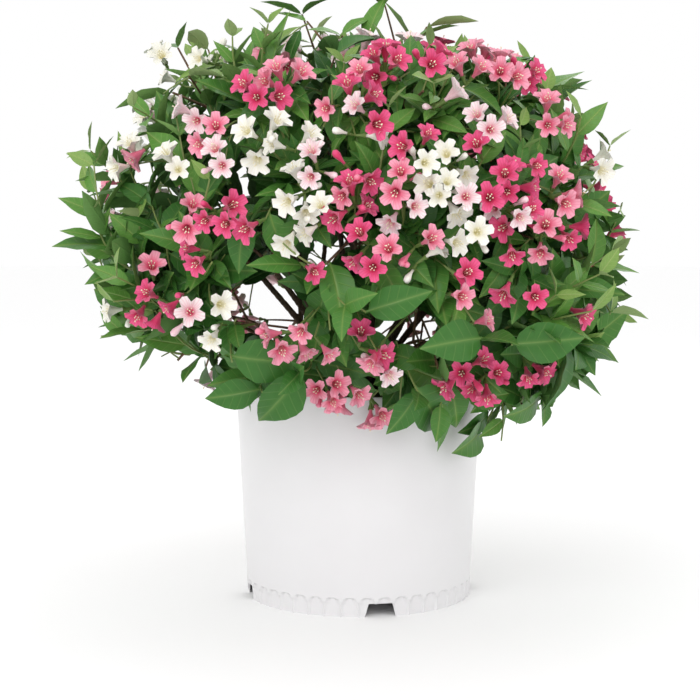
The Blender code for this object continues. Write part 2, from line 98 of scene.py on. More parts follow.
import bpy
import numpy as np
from mathutils import Matrix, Vector, noise

CAMERA_PLACE = Vector((0.0, -2.0, 0.459))
CAMERA_AIM = Vector((-0.0098, 0.0, 0.279))
LENS = 90.7

scene = bpy.context.scene
scene.view_settings.view_transform = "Standard"
lens = bpy.data.cameras.new("camera")
lens.lens = LENS
camera = bpy.data.objects.new("camera", lens)
camera.location = CAMERA_PLACE
camera.rotation_euler = (CAMERA_AIM - CAMERA_PLACE).to_track_quat("-Z", "Y").to_euler()
scene.collection.objects.link(camera)
scene.camera = camera
print("camera", round((CAMERA_AIM - CAMERA_PLACE).length, 2), "m from its aim")

# %% Light it softly
LAMPS = {
    "key": {"place": (-0.9, -2.3, 1.9), "size": 1.4, "power": 19},
    "fill": {"place": (1.8, -1.6, 1.0), "size": 1.8, "power": 4},
    "rim": {"place": (0.6, 2.2, 2.0), "size": 1.5, "power": 9},
}
SKY = (1.0, 1.0, 1.0, 1)
SKY_STRENGTH = 1.0
LAMP_AIM = Vector((0, 0, 0.35))

world = bpy.data.worlds.new("studio")
world.use_nodes = True
world.node_tree.nodes["Background"].inputs["Color"].default_value = SKY
world.node_tree.nodes["Background"].inputs["Strength"].default_value = SKY_STRENGTH
scene.world = world
for name, lamp in LAMPS.items():
    light = bpy.data.lights.new(name, "AREA")
    light.size = lamp["size"]
    light.energy = lamp["power"]
    holder = bpy.data.objects.new(name, light)
    holder.location = lamp["place"]
    holder.rotation_euler = (LAMP_AIM - holder.location).to_track_quat("-Z", "Y").to_euler()
    scene.collection.objects.link(holder)
print(len(LAMPS), "lamps")

# %% [markdown]
# ## Shader helper
#
# A material is a small graph of nodes. Written node by node, even a short formula is hard to read,
# so a `Wire` stands for one socket and takes part in plain Python sums, and a `Finish` adds the
# nodes. Numbers alone are still worked out in Python.

# %% A socket that does sums
class Wire:
    """The output socket of a node, which adds a Math node for each sum that it takes part in."""

    def __init__(self, finish, socket):
        self.finish = finish
        self.socket = socket

    def maths(self, operation, *values):
        return self.finish.node("Math", {"operation": operation}, dict(enumerate(values)))

    def __add__(self, other):
        return self.maths("ADD", self, other)

    def __radd__(self, other):
        return self.maths("ADD", other, self)

    def __sub__(self, other):
        return self.maths("SUBTRACT", self, other)

    def __rsub__(self, other):
        return self.maths("SUBTRACT", other, self)

    def __mul__(self, other):
        return self.maths("MULTIPLY", self, other)

    def __rmul__(self, other):
        return self.maths("MULTIPLY", other, self)

    def __pow__(self, other):
        return self.maths("POWER", self, other)

    def __abs__(self):
        return self.maths("ABSOLUTE", self)

    def sine(self):
        return self.maths("SINE", self)

    def at_least(self, other):
        return self.maths("MAXIMUM", self, other)


# %% A material being made
MIX_A, MIX_B, MIX_COLOUR = 6, 7, 2


class Finish:
    """A new material with a Principled shader, and the ways of adding nodes to it."""

    def __init__(self, name, roughness, metallic=0.0):
        self.material = bpy.data.materials.new(name)
        self.material.use_nodes = True
        self.tree = self.material.node_tree
        self.shader = self.tree.nodes["Principled BSDF"]
        self.set("Roughness", roughness)
        self.set("Metallic", metallic)

    def node(self, kind, settings=None, sockets=None, out=0):
        """Adds a node: its settings first, then what feeds its sockets. Returns one output."""
        made = self.tree.nodes.new("ShaderNode" + kind)
        for name, value in (settings or {}).items():
            if name == "stops":
                self.set_stops(made.color_ramp.elements, value)
            else:
                setattr(made, name, value)
        for name, value in (sockets or {}).items():
            self.feed(made.inputs[name], value)
        return Wire(self, made.outputs[out])

    def set_stops(self, stops, wanted):
        while len(stops) < len(wanted):
            stops.new(0.5)
        for stop, (place, colour) in zip(stops, wanted):
            stop.position = place
            stop.color = (*colour, 1)

    def feed(self, socket, value):
        if isinstance(value, Wire):
            self.tree.links.new(value.socket, socket)
        else:
            socket.default_value = value

    def set(self, name, value):
        self.feed(self.shader.inputs[name], value)

    def mix(self, share, first, second):
        """A colour between two colours."""
        sockets = {0: share}
        for index, colour in ((MIX_A, first), (MIX_B, second)):
            sockets[index] = colour if isinstance(colour, Wire) else (*colour, 1)
        return self.node("Mix", {"data_type": "RGBA"}, sockets, out=MIX_COLOUR)

    def place(self, stretch=(1, 1, 1)):
        """Where a point is on the object, in metres, squeezed by stretch."""
        spot = self.node("TexCoord", out="Object")
        return self.node("Mapping", None, {"Vector": spot, "Scale": stretch})

    def noise(self, vector, scale, detail=3.0):
        return self.node("TexNoise", None, {"Vector": vector, "Scale": scale, "Detail": detail})

    def bump(self, height, strength, distance):
        raised = self.node("Bump", None, {"Height": height, "Strength": strength, "Distance": distance})
        self.set("Normal", raised)


# %% [markdown]
# ## Finishes
#
# Four families of surface show: smooth white plastic, damp potting mix, woody bark, and the living
# parts. Leaves and petals read their own UV map, in which every copy of a leaf has the same place,
# so one drawing of veins serves them all. Leaves come in five shades and petals in four tints.

# %% Plastic, mix and bark
PLASTIC = ((0.740, 0.727, 0.737), (0.785, 0.778, 0.787))
CHIP = ((0.030, 0.018, 0.011), (0.17, 0.10, 0.058))
MIX_STOPS = ((0.30, (0.012, 0.008, 0.006)), (0.52, (0.045, 0.028, 0.018)), (0.75, (0.12, 0.08, 0.05)))
RIDGE_LIGHT = 1.7


def plastic_finish():
    """Smooth white, a little uneven in colour and gloss, under a thin clear coat."""
    made = Finish("white_plastic", roughness=0.30)
    spot = made.place()
    made.set("Base Color", made.mix(made.noise(spot, scale=14), *PLASTIC))
    made.set("Roughness", 0.26 + 0.12 * made.noise(spot, scale=60))
    made.set("Coat Weight", 0.25)
    made.set("Coat Roughness", 0.18)
    made.bump(made.noise(spot, scale=420), strength=0.05, distance=0.0004)
    return made.material


def mix_finish():
    """Nearly black and rough, with browner crumbs."""
    made = Finish("potting_mix", roughness=0.95)
    grain = made.noise(made.place(), scale=260, detail=6)
    made.set("Base Color", made.node("ValToRGB", {"stops": MIX_STOPS}, {"Fac": grain}))
    made.bump(grain, strength=0.9, distance=0.002)
    return made.material


def chip_finish():
    made = Finish("bark_chips", roughness=0.9)
    grain = made.noise(made.place((1, 1, 3)), scale=160, detail=5)
    made.set("Base Color", made.mix(grain, *CHIP))
    made.bump(grain, strength=0.8, distance=0.001)
    return made.material


def bark_finish(name, dark, light):
    """Fissures run up the stem, so the noise is squeezed along Z."""
    made = Finish(name, roughness=0.85)
    grain = made.noise(made.place((1, 1, 0.22)), scale=520, detail=6)
    patches = made.noise(made.place(), scale=45)
    stops = [(0.34, dark), (0.58, light), (0.80, tuple(min(1, RIDGE_LIGHT * part) for part in light))]
    colour = made.node("ValToRGB", {"stops": stops}, {"Fac": 0.6 * grain + 0.4 * patches})
    made.set("Base Color", colour)
    made.set("Roughness", 0.72 + 0.2 * grain)
    made.bump(grain, strength=0.8, distance=0.0008)
    return made.material


# %% Leaf and petal
MAP = "OFBake"
SIDE_VEINS = 7
VEIN_SLANT = 1.1
VEIN_SHARPNESS = 14
MIDRIB_SHARPNESS = 16
SIDE_VEIN_SHARE = 0.28
VEIN_SHARE = 0.75
PATCH_SHADE = 0.78
LEAF_SHEEN = 0.24
LOBES = 5
STREAKS = 5
STREAK_SHARE = 0.22


def split_map(made):
    """The two numbers of a piece's own map."""
    spot = made.node("UVMap", {"uv_map": MAP})
    parts = made.node("SeparateXYZ", None, {"Vector": spot})
    return parts, Wire(made, parts.socket.node.outputs["Y"])


def leaf_finish(name, blade, vein, under):
    """The map's left half is the upper side of the leaf and its right half the paler underside."""
    made = Finish(name, roughness=0.42)
    across, along = split_map(made)
    below = made.node("Math", {"operation": "GREATER_THAN"}, {0: across, 1: 0.5})
    aside = abs(across - below * 0.5 - 0.25) * 4
    waves = ((along - aside * (VEIN_SLANT / SIDE_VEINS)) * (SIDE_VEINS * math.tau)).sine()
    side_vein = waves.at_least(0) ** VEIN_SHARPNESS * SIDE_VEIN_SHARE
    lines = side_vein.at_least((1 - aside).at_least(0) ** MIDRIB_SHARPNESS)
    darker = tuple(PATCH_SHADE * part for part in blade)
    patches = made.noise(made.node("UVMap", {"uv_map": MAP}), scale=9)
    top = made.mix(lines * VEIN_SHARE, made.mix(patches, darker, blade), vein)
    made.set("Base Color", made.mix(below, top, under))
    made.set("Roughness", 0.36 + 0.22 * below)
    made.set("Specular IOR Level", LEAF_SHEEN)
    made.bump(below * lines * 2 - lines, strength=0.55, distance=0.0012)
    return made.material


def petal_finish(name, edge, middle, throat, outside):
    """The map runs up the outside in its lower half, then down the inside to the throat."""
    made = Finish(name, roughness=0.55)
    around, along = split_map(made)
    stops = [(0.0, outside), (0.36, middle), (0.50, edge), (0.62, edge), (0.76, middle), (0.90, throat)]
    drawn = made.node("ValToRGB", {"stops": stops}, {"Fac": along})
    streaks = ((around * LOBES * math.tau * STREAKS).sine() * 0.5 + 0.5) ** 3
    made.set("Base Color", made.mix(streaks * STREAK_SHARE, drawn, throat))
    made.set("Sheen Weight", 0.25)
    made.bump(streaks, strength=0.25, distance=0.0005)
    return made.material


# %% The materials by name
LEAF_SHADES = {  # the blade, its veins and its underside
    "deep": ((0.034, 0.120, 0.023), (0.11, 0.22, 0.060), (0.085, 0.185, 0.055)),
    "mid": ((0.048, 0.166, 0.028), (0.17, 0.29, 0.075), (0.100, 0.225, 0.065)),
    "warm": ((0.072, 0.216, 0.035), (0.23, 0.35, 0.090), (0.130, 0.270, 0.075)),
    "fresh": ((0.118, 0.290, 0.050), (0.30, 0.42, 0.120), (0.180, 0.330, 0.095)),
    "young": ((0.215, 0.360, 0.085), (0.39, 0.51, 0.170), (0.32, 0.44, 0.180)),
}
PETAL_TINTS = {  # a petal's edge, its middle, the throat and the outside
    "rose": ((0.79, 0.088, 0.250), (0.69, 0.028, 0.135), (0.34, 0.006, 0.035), (0.70, 0.070, 0.170)),
    "pink": ((0.89, 0.37, 0.48), (0.83, 0.150, 0.265), (0.48, 0.015, 0.070), (0.82, 0.23, 0.32)),
    "blush": ((0.90, 0.79, 0.80), (0.89, 0.60, 0.65), (0.70, 0.06, 0.16), (0.88, 0.62, 0.66)),
    "white": ((0.90, 0.89, 0.84), (0.89, 0.87, 0.79), (0.78, 0.72, 0.40), (0.88, 0.85, 0.77)),
}


def plain_finish(name, colour, roughness):
    """One of the small parts, too fine for a pattern to show on it."""
    made = Finish(name, roughness)
    made.set("Base Color", (*colour, 1))
    return made.material


finishes = {
    "plastic": plastic_finish(),
    "mix": mix_finish(),
    "chips": chip_finish(),
    "bark": bark_finish("woody_bark", (0.035, 0.021, 0.014), (0.145, 0.092, 0.060)),
    "twig": bark_finish("twig_bark", (0.060, 0.030, 0.018), (0.200, 0.115, 0.060)),
    "shoot": plain_finish("green_shoot", (0.200, 0.260, 0.075), roughness=0.5),
    "calyx": plain_finish("calyx", (0.150, 0.235, 0.060), roughness=0.5),
    "stamen": plain_finish("stamen", (0.86, 0.80, 0.58), roughness=0.5),
}
for shade, colours in LEAF_SHADES.items():
    finishes["leaf_" + shade] = leaf_finish("leaf_" + shade, *colours)
for tint, colours in PETAL_TINTS.items():
    finishes["petal_" + tint] = petal_finish("petal_" + tint, *colours)
print(len(finishes), "finishes")

# %% [markdown]
# ## Modelling helpers
#
# Round things are modelled the way a potter would: a ring of corners is drawn up through a list of
# radii and heights, with Extrude and Scale. The same few helpers start a piece, pick corners by
# their place, and leave the finished piece at the origin with its place in its mesh.

# %% Start, pick and finish
def start(primitive, **settings):
    """Adds a primitive, all else deselected, and goes into edit mode."""
    bpy.ops.object.select_all(action="DESELECT")
    getattr(bpy.ops.mesh, f"primitive_{primitive}_add")(**settings)
    made = bpy.context.object
    bpy.ops.object.mode_set(mode="EDIT")
    bpy.ops.mesh.select_mode(type="VERT")
    return made


def pick(thing, wanted):
    """Selects the corners whose place passes the test, and nothing else."""
    bpy.ops.mesh.select_all(action="DESELECT")
    bpy.ops.object.mode_set(mode="OBJECT")
    for corner in thing.data.vertices:
        corner.select = bool(wanted(thing.matrix_world @ corner.co))
    bpy.ops.object.mode_set(mode="EDIT")


def draw_up(rings):
    """From the selected ring, a wall through each (radius, height) that follows."""
    for (radius, height), (wider, higher) in itertools.pairwise(rings):
        bpy.ops.mesh.extrude_region_move(TRANSFORM_OT_translate={"value": (0, 0, higher - height)})
        grow = wider / radius
        bpy.ops.transform.resize(value=(grow, grow, 1), center_override=(0, 0, higher))


def leave(thing, name, smooth_angle=None):
    """Back to object mode, with faces out, the place in the mesh and a plain name."""
    bpy.ops.mesh.select_all(action="SELECT")
    bpy.ops.mesh.normals_make_consistent(inside=False)
    bpy.ops.object.mode_set(mode="OBJECT")
    bpy.ops.object.transform_apply(location=True, rotation=True, scale=True)
    if smooth_angle is not None:
        bpy.ops.object.shade_smooth_by_angle(angle=math.radians(smooth_angle))
    thing.name = name
    thing.data.name = name
    return thing


def add_modifier(thing, kind, **settings):
    """Adds a modifier and applies it at once."""
    bpy.context.view_layer.objects.active = thing
    made = thing.modifiers.new(kind.lower(), kind)
    for name, value in settings.items():
        setattr(made, name, value)
    bpy.ops.object.modifier_apply(modifier=made.name)


def dress(thing, finish, slot, *nodes):
    """Gives a piece its finish and its place on the body, and hides the nodes it stands for. Its slot is
    not used.
    """
    thing.data.materials.clear()
    thing.data.materials.append(finishes[finish])
    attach(thing, "root")
    if nodes:
        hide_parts(*nodes)
    return thing


# %% [markdown]
# ## The pot
#
# A blow-moulded container: one thin wall with a plain rim, a row of shallow arched flutes round its
# foot that stiffen it, a floor raised off the ground, and drainage notches. It is drawn up from a
# ring with eight corners to each flute. The flutes are then pressed in all at once, by scaling the
# corners inside each arch towards the axis, and the notches are cut with a Boolean. Its print is
# left off, and its place is bare.

# %% Draw up the wall
pot_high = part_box("pot")[1]
POT_HEIGHT = pot_high.z
POT_TOP_RADIUS = pot_high.x
POT_FOOT_RADIUS = 0.1270
POT_WALL = 0.0022
FLUTES = 42
FLUTE_CORNERS = 8
FLUTE_HEIGHT = 0.0215
FLUTE_DEPTH = 0.0019
FLUTE_STRAIGHT = 0.012
FLUTE_SHARE = 0.80
FOOT_RINGS = (0, 0.004, 0.008, 0.012, 0.0145, 0.0165, 0.0185, 0.0202, 0.0215, 0.0235)
WALL_RINGS = (0.035, 0.06, 0.10, 0.15, 0.20, 0.232)
RIM_ROUND = 0.0007
FLOOR_UNDERSIDE = 0.0160
FLOOR_THICKNESS = 0.0030
FLOOR_HUB = 0.010


def pot_radius(height):
    return POT_FOOT_RADIUS + (POT_TOP_RADIUS - POT_FOOT_RADIUS) * height / POT_HEIGHT


def draw_pot():
    """The outer wall, the rim and the inside, and then the foot's underside."""
    pot = start("circle", vertices=FLUTES * FLUTE_CORNERS, radius=POT_FOOT_RADIUS)
    floor = FLOOR_UNDERSIDE + FLOOR_THICKNESS
    rings = [(pot_radius(height), height) for height in FOOT_RINGS + WALL_RINGS]
    rings += [
        (pot_radius(POT_HEIGHT) - 0.0001, POT_HEIGHT - RIM_ROUND),
        (POT_TOP_RADIUS - RIM_ROUND, POT_HEIGHT),
        (POT_TOP_RADIUS - POT_WALL + RIM_ROUND, POT_HEIGHT),
        (POT_TOP_RADIUS - POT_WALL, POT_HEIGHT - RIM_ROUND),
        (pot_radius(floor) - POT_WALL, floor),
        (FLOOR_HUB, floor),
    ]
    draw_up(rings)
    bpy.ops.mesh.edge_face_add()
    pick(pot, lambda place: place.z < 0.0001)
    inner_foot = POT_FOOT_RADIUS - POT_WALL
    underside = [(inner_foot, 0), (inner_foot, FLOOR_UNDERSIDE), (FLOOR_HUB, FLOOR_UNDERSIDE)]
    draw_up([(POT_FOOT_RADIUS, 0), *underside])
    bpy.ops.mesh.edge_face_add()
    return pot


def inside_arch(place):
    """True on the outer wall between two ribs, under the round top of a flute."""
    if place.z > FLUTE_HEIGHT or math.hypot(place.x, place.y) < pot_radius(place.z) - POT_WALL / 2:
        return False
    turn = math.degrees(math.atan2(place.y, place.x)) * FLUTES / 360
    aside = abs(turn - round(turn)) * 2
    shoulder = (max(0, place.z - FLUTE_STRAIGHT) / (FLUTE_HEIGHT - FLUTE_STRAIGHT)) ** 2
    return aside < FLUTE_SHARE * math.sqrt(max(0, 1 - shoulder)) + 0.01


pot = draw_pot()
pick(pot, inside_arch)
press = 1 - FLUTE_DEPTH / POT_FOOT_RADIUS
bpy.ops.transform.resize(value=(press, press, 1), center_override=(0, 0, 0))
leave(pot, "nursery_pot", smooth_angle=32)
print("pot", len(pot.data.polygons), "faces")

# %% Cut the drainage notches
NOTCHES = 4
NOTCH_AZIMUTH = -79
NOTCH_WIDTH = 0.042
NOTCH_TOP_SHARE = 0.62
NOTCH_HEIGHT = 0.0145
NOTCH_DEPTH = 0.030


def cut_notch(azimuth):
    """A block with sloping ends goes through the wall, cuts it, and is thrown away."""
    cutter = start("cube", size=1, location=(POT_FOOT_RADIUS, 0, 0))
    size = (NOTCH_DEPTH, NOTCH_WIDTH, 2 * NOTCH_HEIGHT)
    bpy.ops.transform.resize(value=size, center_override=(POT_FOOT_RADIUS, 0, 0))
    pick(cutter, lambda place: place.z > 0)
    bpy.ops.transform.resize(value=(1, NOTCH_TOP_SHARE, 1), center_override=(POT_FOOT_RADIUS, 0, 0))
    leave(cutter, "notch_cutter")
    cutter.rotation_euler.z = math.radians(azimuth)
    bpy.context.view_layer.update()
    add_modifier(pot, "BOOLEAN", operation="DIFFERENCE", object=cutter)
    bpy.data.objects.remove(cutter)


for index in range(NOTCHES):
    cut_notch(NOTCH_AZIMUTH + index * 360 / NOTCHES)
dress(pot, "plastic", "pot", "pot")
print("pot with notches", len(pot.data.polygons), "faces")

# %% [markdown]
# ## The potting mix
#
# Composted bark fills the pot to 22 mm under the rim. The surface is a fine grid cut to a disc and
# roughened with a Displace modifier on a clouds texture, then closed with a short skirt. Loose chips
# of bark lie on it: one chip is modelled, and its copies are turned every way.

# %% Bed and relief
MIX_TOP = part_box("potting_mix")[1].z
MIX_CLEARANCE = 0.0006
MIX_EDGE = pot_radius(MIX_TOP) - POT_WALL - MIX_CLEARANCE
MIX_CUTS = 72
MIX_RELIEF = 0.006
MIX_DEPTH = 0.02
CLOD_SIZE = 0.012

cuts = {"x_subdivisions": MIX_CUTS, "y_subdivisions": MIX_CUTS}
bed = start("grid", **cuts, size=2 * MIX_EDGE, location=(0, 0, MIX_TOP))
pick(bed, lambda place: math.hypot(place.x, place.y) > MIX_EDGE)
bpy.ops.mesh.delete(type="VERT")
bpy.ops.object.mode_set(mode="OBJECT")
clods = bpy.data.textures.new("clods", "CLOUDS")
clods.noise_scale = CLOD_SIZE
clods.noise_depth = 3
add_modifier(bed, "DISPLACE", texture=clods, strength=MIX_RELIEF, mid_level=0.6)
bpy.ops.object.mode_set(mode="EDIT")
bpy.ops.mesh.select_all(action="SELECT")
bpy.ops.mesh.region_to_loop()
bpy.ops.mesh.extrude_region_move(TRANSFORM_OT_translate={"value": (0, 0, -MIX_DEPTH)})
bpy.ops.mesh.edge_face_add()
leave(bed, "potting_mix_bed", smooth_angle=60)
dress(bed, "mix", "potting_mix", "potting_mix")
print("bed", len(bed.data.polygons), "faces")

# %% [markdown]
# ## Copies as arrays
#
# A shrub holds thousands of leaves. Each shape is modelled once, read into arrays as a `Pattern`,
# and stamped on every place by one sum, so that all its copies are one mesh.

# %% Read a shape, stamp its copies
class Pattern:
    """The corners, faces and map of a modelled shape, ready to be stamped."""

    def __init__(self, thing, map_corner):
        mesh = thing.data
        self.corners = np.array([corner.co for corner in mesh.vertices])
        self.loops = np.array([loop.vertex_index for loop in mesh.loops])
        self.totals = np.array([face.loop_total for face in mesh.polygons])
        pairs = [(face, index) for face in mesh.polygons for index in face.vertices]
        self.uv = np.array([map_corner(self.corners[index], face, index) for face, index in pairs])
        bpy.data.objects.remove(thing)

    def stamp(self, name, corners, smooth_angle=None):
        """One mesh object from an array of (copies, corners, 3)."""
        count, each = corners.shape[:2]
        mesh = bpy.data.meshes.new(name)
        mesh.vertices.add(count * each)
        mesh.vertices.foreach_set("co", corners.astype(np.float32).ravel())
        loops = (self.loops[None] + np.arange(count)[:, None] * each).ravel()
        mesh.loops.add(len(loops))
        mesh.loops.foreach_set("vertex_index", loops.astype(np.int32))
        totals = np.tile(self.totals, count)
        mesh.polygons.add(len(totals))
        firsts = np.concatenate([[0], totals.cumsum()[:-1]])
        mesh.polygons.foreach_set("loop_start", firsts.astype(np.int32))
        mesh.update(calc_edges=True)
        layer = mesh.uv_layers.new(name=MAP)
        layer.uv.foreach_set("vector", np.tile(self.uv, (count, 1)).astype(np.float32).ravel())
        mesh.shade_smooth()
        if smooth_angle is not None:
            mesh.set_sharp_from_angle(angle=math.radians(smooth_angle))
        made = bpy.data.objects.new(name, mesh)
        scene.collection.objects.link(made)
        return made


def set_on(pattern, frames, roots, sizes):
    """Every copy's corners: scaled, turned by its frame (rows across, normal, along), and moved."""
    scaled = pattern.corners[None] * np.asarray(sizes)[:, None]
    return np.einsum("nvk,nkj->nvj", scaled, np.asarray(frames)) + np.asarray(roots)[:, None]


def plain_map(corner, face, index):
    """For a shape whose finish reads no map."""
    return (0.5, 0.5)


# %% Strew the chips
CHIPS = 420
CHIP_SIZE = 0.0085
CHIP_SIZES = (0.35, 1.15)
CHIP_WIDTHS = (0.7, 1.2)
CHIP_SHAPE = (1.3, 0.75, 0.34)
CHIP_ROUGHNESS = 0.16
CHIP_TILT = 0.7
CHIP_SPREAD = 0.97
CHIP_LIFTS = (-0.001, 0.002)

chip = start("cube", size=1)
bpy.ops.mesh.subdivide(number_cuts=1)
bpy.ops.transform.vertex_random(offset=CHIP_ROUGHNESS, seed=5)
bpy.ops.transform.resize(value=CHIP_SHAPE, center_override=(0, 0, 0))
chip_pattern = Pattern(leave(chip, "chip"), plain_map)


def chip_frame(dice):
    turn = Matrix.Rotation(dice.uniform(0, math.tau), 3, "Z")
    return np.array(turn @ Matrix.Rotation(dice.uniform(-CHIP_TILT, CHIP_TILT), 3, "X"))


def strew_chips():
    dice = random.Random(11)
    roots, frames, sizes = [], [], []
    for _ in range(CHIPS):
        away, turn = MIX_EDGE * CHIP_SPREAD * math.sqrt(dice.random()), dice.uniform(0, math.tau)
        height = MIX_TOP + dice.uniform(*CHIP_LIFTS)
        roots.append((away * math.cos(turn), away * math.sin(turn), height))
        frames.append(chip_frame(dice))
        size = CHIP_SIZE * dice.uniform(*CHIP_SIZES)
        sizes.append((size, size * dice.uniform(*CHIP_WIDTHS), size))
    return chip_pattern.stamp("bark_chips", set_on(chip_pattern, frames, roots, sizes), smooth_angle=30)


dress(strew_chips(), "chips", "potting_mix")
print(CHIPS, "chips")

# %% [markdown]
# ## How the shrub grows
#
# The plain model was grown by a seeded rule. The same rule is written again here, with the same
# seeds, so that the same limbs, stems and twigs come out of it, and each broad plain leaf gives the
# place and reach of a whole spray.

# %% Directions and bends
STEEP = 0.9
BEND_REACH = 0.5
LINE_SPACING = 0.006


def unit(vector):
    return vector / np.linalg.norm(vector)


def crossed(first, second):
    """The cross product of two single vectors, for which NumPy's own is slow."""
    (a, b, c), (d, e, f) = first, second
    return np.array((b * f - c * e, c * d - a * f, a * e - b * d))


def heading(azimuth, elevation=0):
    """The direction at an azimuth and elevation in degrees."""
    turn, lift = math.radians(azimuth), math.radians(elevation)
    return np.array((math.cos(turn) * math.cos(lift), math.sin(turn) * math.cos(lift), math.sin(lift)))


def turned_from(axis, spin, angle):
    """The direction at an angle from axis, on the side that spin picks."""
    helper = np.array((0.0, 0.0, 1.0)) if abs(axis[2]) < STEEP else np.array((1.0, 0.0, 0.0))
    side = unit(crossed(axis, helper))
    across = math.cos(spin) * side + math.sin(spin) * crossed(axis, side)
    return math.cos(angle) * axis + math.sin(angle) * across


def bend(start_at, way, end, count):
    """Points on a curve that leaves start_at along way and runs to end."""
    middle = start_at + way * np.linalg.norm(end - start_at) * BEND_REACH
    shares = np.linspace(0, 1, count)[:, None]
    return (1 - shares) ** 2 * start_at + 2 * shares * (1 - shares) * middle + shares**2 * end


def heeled_bend(start_at, way, heel, end, count):
    """The same, after a short straight heel."""
    return np.concatenate([[start_at], bend(start_at + way * heel, way, end, count - 1)])


def at_share(points, share):
    """The place and direction at a share of the way along a line of points."""
    place = share * (len(points) - 1)
    index = min(int(place), len(points) - 2)
    step = points[index + 1] - points[index]
    return points[index] + step * (place - index), unit(step)


def along_line(first, last):
    """Points a few millimetres apart on a straight line."""
    count = 2 + int(np.linalg.norm(last - first) / LINE_SPACING)
    return first + (last - first) * np.linspace(0, 1, count)[:, None]


# %% The crown's outline
CROWN_CENTRE = np.array((-0.002, 0.0, 0.420))
CROWN_HALF_WIDTH = 0.310
CROWN_HALF_DEPTH = 0.292
CROWN_RISE = 0.251
CROWN_DROP = 0.246
CROWN_POWER = 2.4
POT_CLEARANCE = 0.004


def outline_share(points):
    """How far out each point lies: 1 on the crown's outline, less inside it."""
    away = np.atleast_2d(points) - CROWN_CENTRE
    width, depth = np.full(len(away), CROWN_HALF_WIDTH), np.full(len(away), CROWN_HALF_DEPTH)
    height = np.where(away[:, 2] > 0, CROWN_RISE, CROWN_DROP)
    return ((np.abs(away) / np.stack([width, depth, height], 1)) ** CROWN_POWER).sum(1) ** (1 / CROWN_POWER)


def over_pot(points):
    """True for the points that lie in the pot or just off it."""
    near = np.hypot(points[:, 0], points[:, 1]) < POT_TOP_RADIUS + POT_CLEARANCE
    return near & (points[:, 2] < POT_HEIGHT + POT_CLEARANCE)


# %% Where each limb and mass goes
GAP = 0.0003
SEED = 41
SEED_STEP = 100
ROOT_CROWN_RISE = 0.034
STUB_HEIGHT = 0.72
STUB_REACH = 0.016
TIERS = {
    "mid": {"count": 8, "azimuth": -90.0, "elevation": -2, "limb_reach": 0.120, "limb_height": 0.375},
    "low": {"count": 8, "azimuth": -67.5, "elevation": -35, "limb_reach": 0.125, "limb_height": 0.300},
    "high": {"count": 8, "azimuth": -112.5, "elevation": 34, "limb_reach": 0.098, "limb_height": 0.462},
    "top": {"count": 3, "azimuth": -100.0, "elevation": 72, "limb_reach": 0.032, "limb_height": 0.480},
}
TINTS = {
    "mid": ("rose", "rose", "rose", "pink", "blush", "pink", "pink", "rose"),
    "low": ("pink", "rose", "pink", "pink", "white", "pink", "blush", "pink"),
    "high": ("blush", "pink", "pink", "rose", "pink", "blush", "white", "white"),
    "top": ("pink", "rose", "blush"),
}
AZIMUTH_JITTER = 4.0
HEIGHT_JITTER = 0.008
STEM_SHARE = 0.84
SITE_SHARE = 0.66
LIMB_RADII = {
    "mid": (0.0046, 0.0030),
    "top": (0.0042, 0.0027),
    "low": (0.0031, 0.0022),
    "high": (0.0033, 0.0022),
}
LIMB_POINTS = {"mid": 5, "top": 5, "low": 4, "high": 4}
LIMB_HEEL = 0.008
RISE_ANGLE = {"mid": 52, "top": 82}
RISE_SEAT = {"mid": 0.0130, "top": 0.0075}
FORK_SHARE = {"low": 0.36, "high": 0.60}
FORK_LIFT = {"low": -0.18, "high": 0.30}


def rise(azimuth, tier, end):
    """A limb that starts on a stub of the root crown."""
    way = heading(azimuth, RISE_ANGLE[tier])
    height = MIX_TOP + GAP + ROOT_CROWN_RISE * STUB_HEIGHT
    seat = RISE_SEAT[tier] * heading(azimuth) + np.array((0, 0, height))
    first = seat + way * (STUB_REACH + GAP)
    points = heeled_bend(first, way, LIMB_HEEL, end, LIMB_POINTS[tier])
    return {"tier": tier, "points": points, "foot": seat}


def fork(parent, tier, end):
    """A limb that leaves another one's side."""
    place, along = at_share(parent["points"], FORK_SHARE[tier])
    way = unit(unit(end - place) + np.array((0, 0, FORK_LIFT[tier])))
    side = unit(way - along * way.dot(along))
    slope = abs(way.dot(along))
    base, tip = LIMB_RADII[parent["tier"]]
    clear = base + (tip - base) * FORK_SHARE[tier] + GAP + LIMB_RADII[tier][0] * slope
    points = bend(place + side * clear, way, end, LIMB_POINTS[tier])
    return {"tier": tier, "points": points, "foot": place}


def lay_out():
    """The limbs and masses as plain records, each limb before the forks that leave it."""
    dice = random.Random(SEED)
    limbs, masses = {}, []
    for tier, plan in TIERS.items():
        for index in range(plan["count"]):
            azimuth = plan["azimuth"] + index * 360 / plan["count"]
            azimuth += dice.uniform(-1, 1) * AZIMUTH_JITTER
            height = plan["limb_height"] + dice.uniform(-1, 1) * HEIGHT_JITTER
            end = plan["limb_reach"] * heading(azimuth) + np.array((0, 0, height))
            name = f"{tier}_{index + 1}"
            if tier in FORK_SHARE:
                limbs[name] = fork(limbs[f"mid_{index + 1}"], tier, end)
            else:
                limbs[name] = rise(azimuth, tier, end)
            way = heading(azimuth, plan["elevation"])
            reach = way / outline_share(CROWN_CENTRE + way)[0]
            masses.append(
                {
                    "name": name,
                    "tier": tier,
                    "tint": TINTS[tier][index],
                    "seed": SEED + SEED_STEP * len(masses),
                    "limb": limbs[name],
                    "tip": CROWN_CENTRE + STEM_SHARE * reach,
                    "site": CROWN_CENTRE + SITE_SHARE * reach,
                }
            )
    return limbs, masses


limbs, masses = lay_out()
print(len(limbs), "limbs and", len(masses), "masses")

# %% The space that a mass keeps to
SPACE_MARGIN = 0.0008
LIMB_CLEARANCE = 0.0035


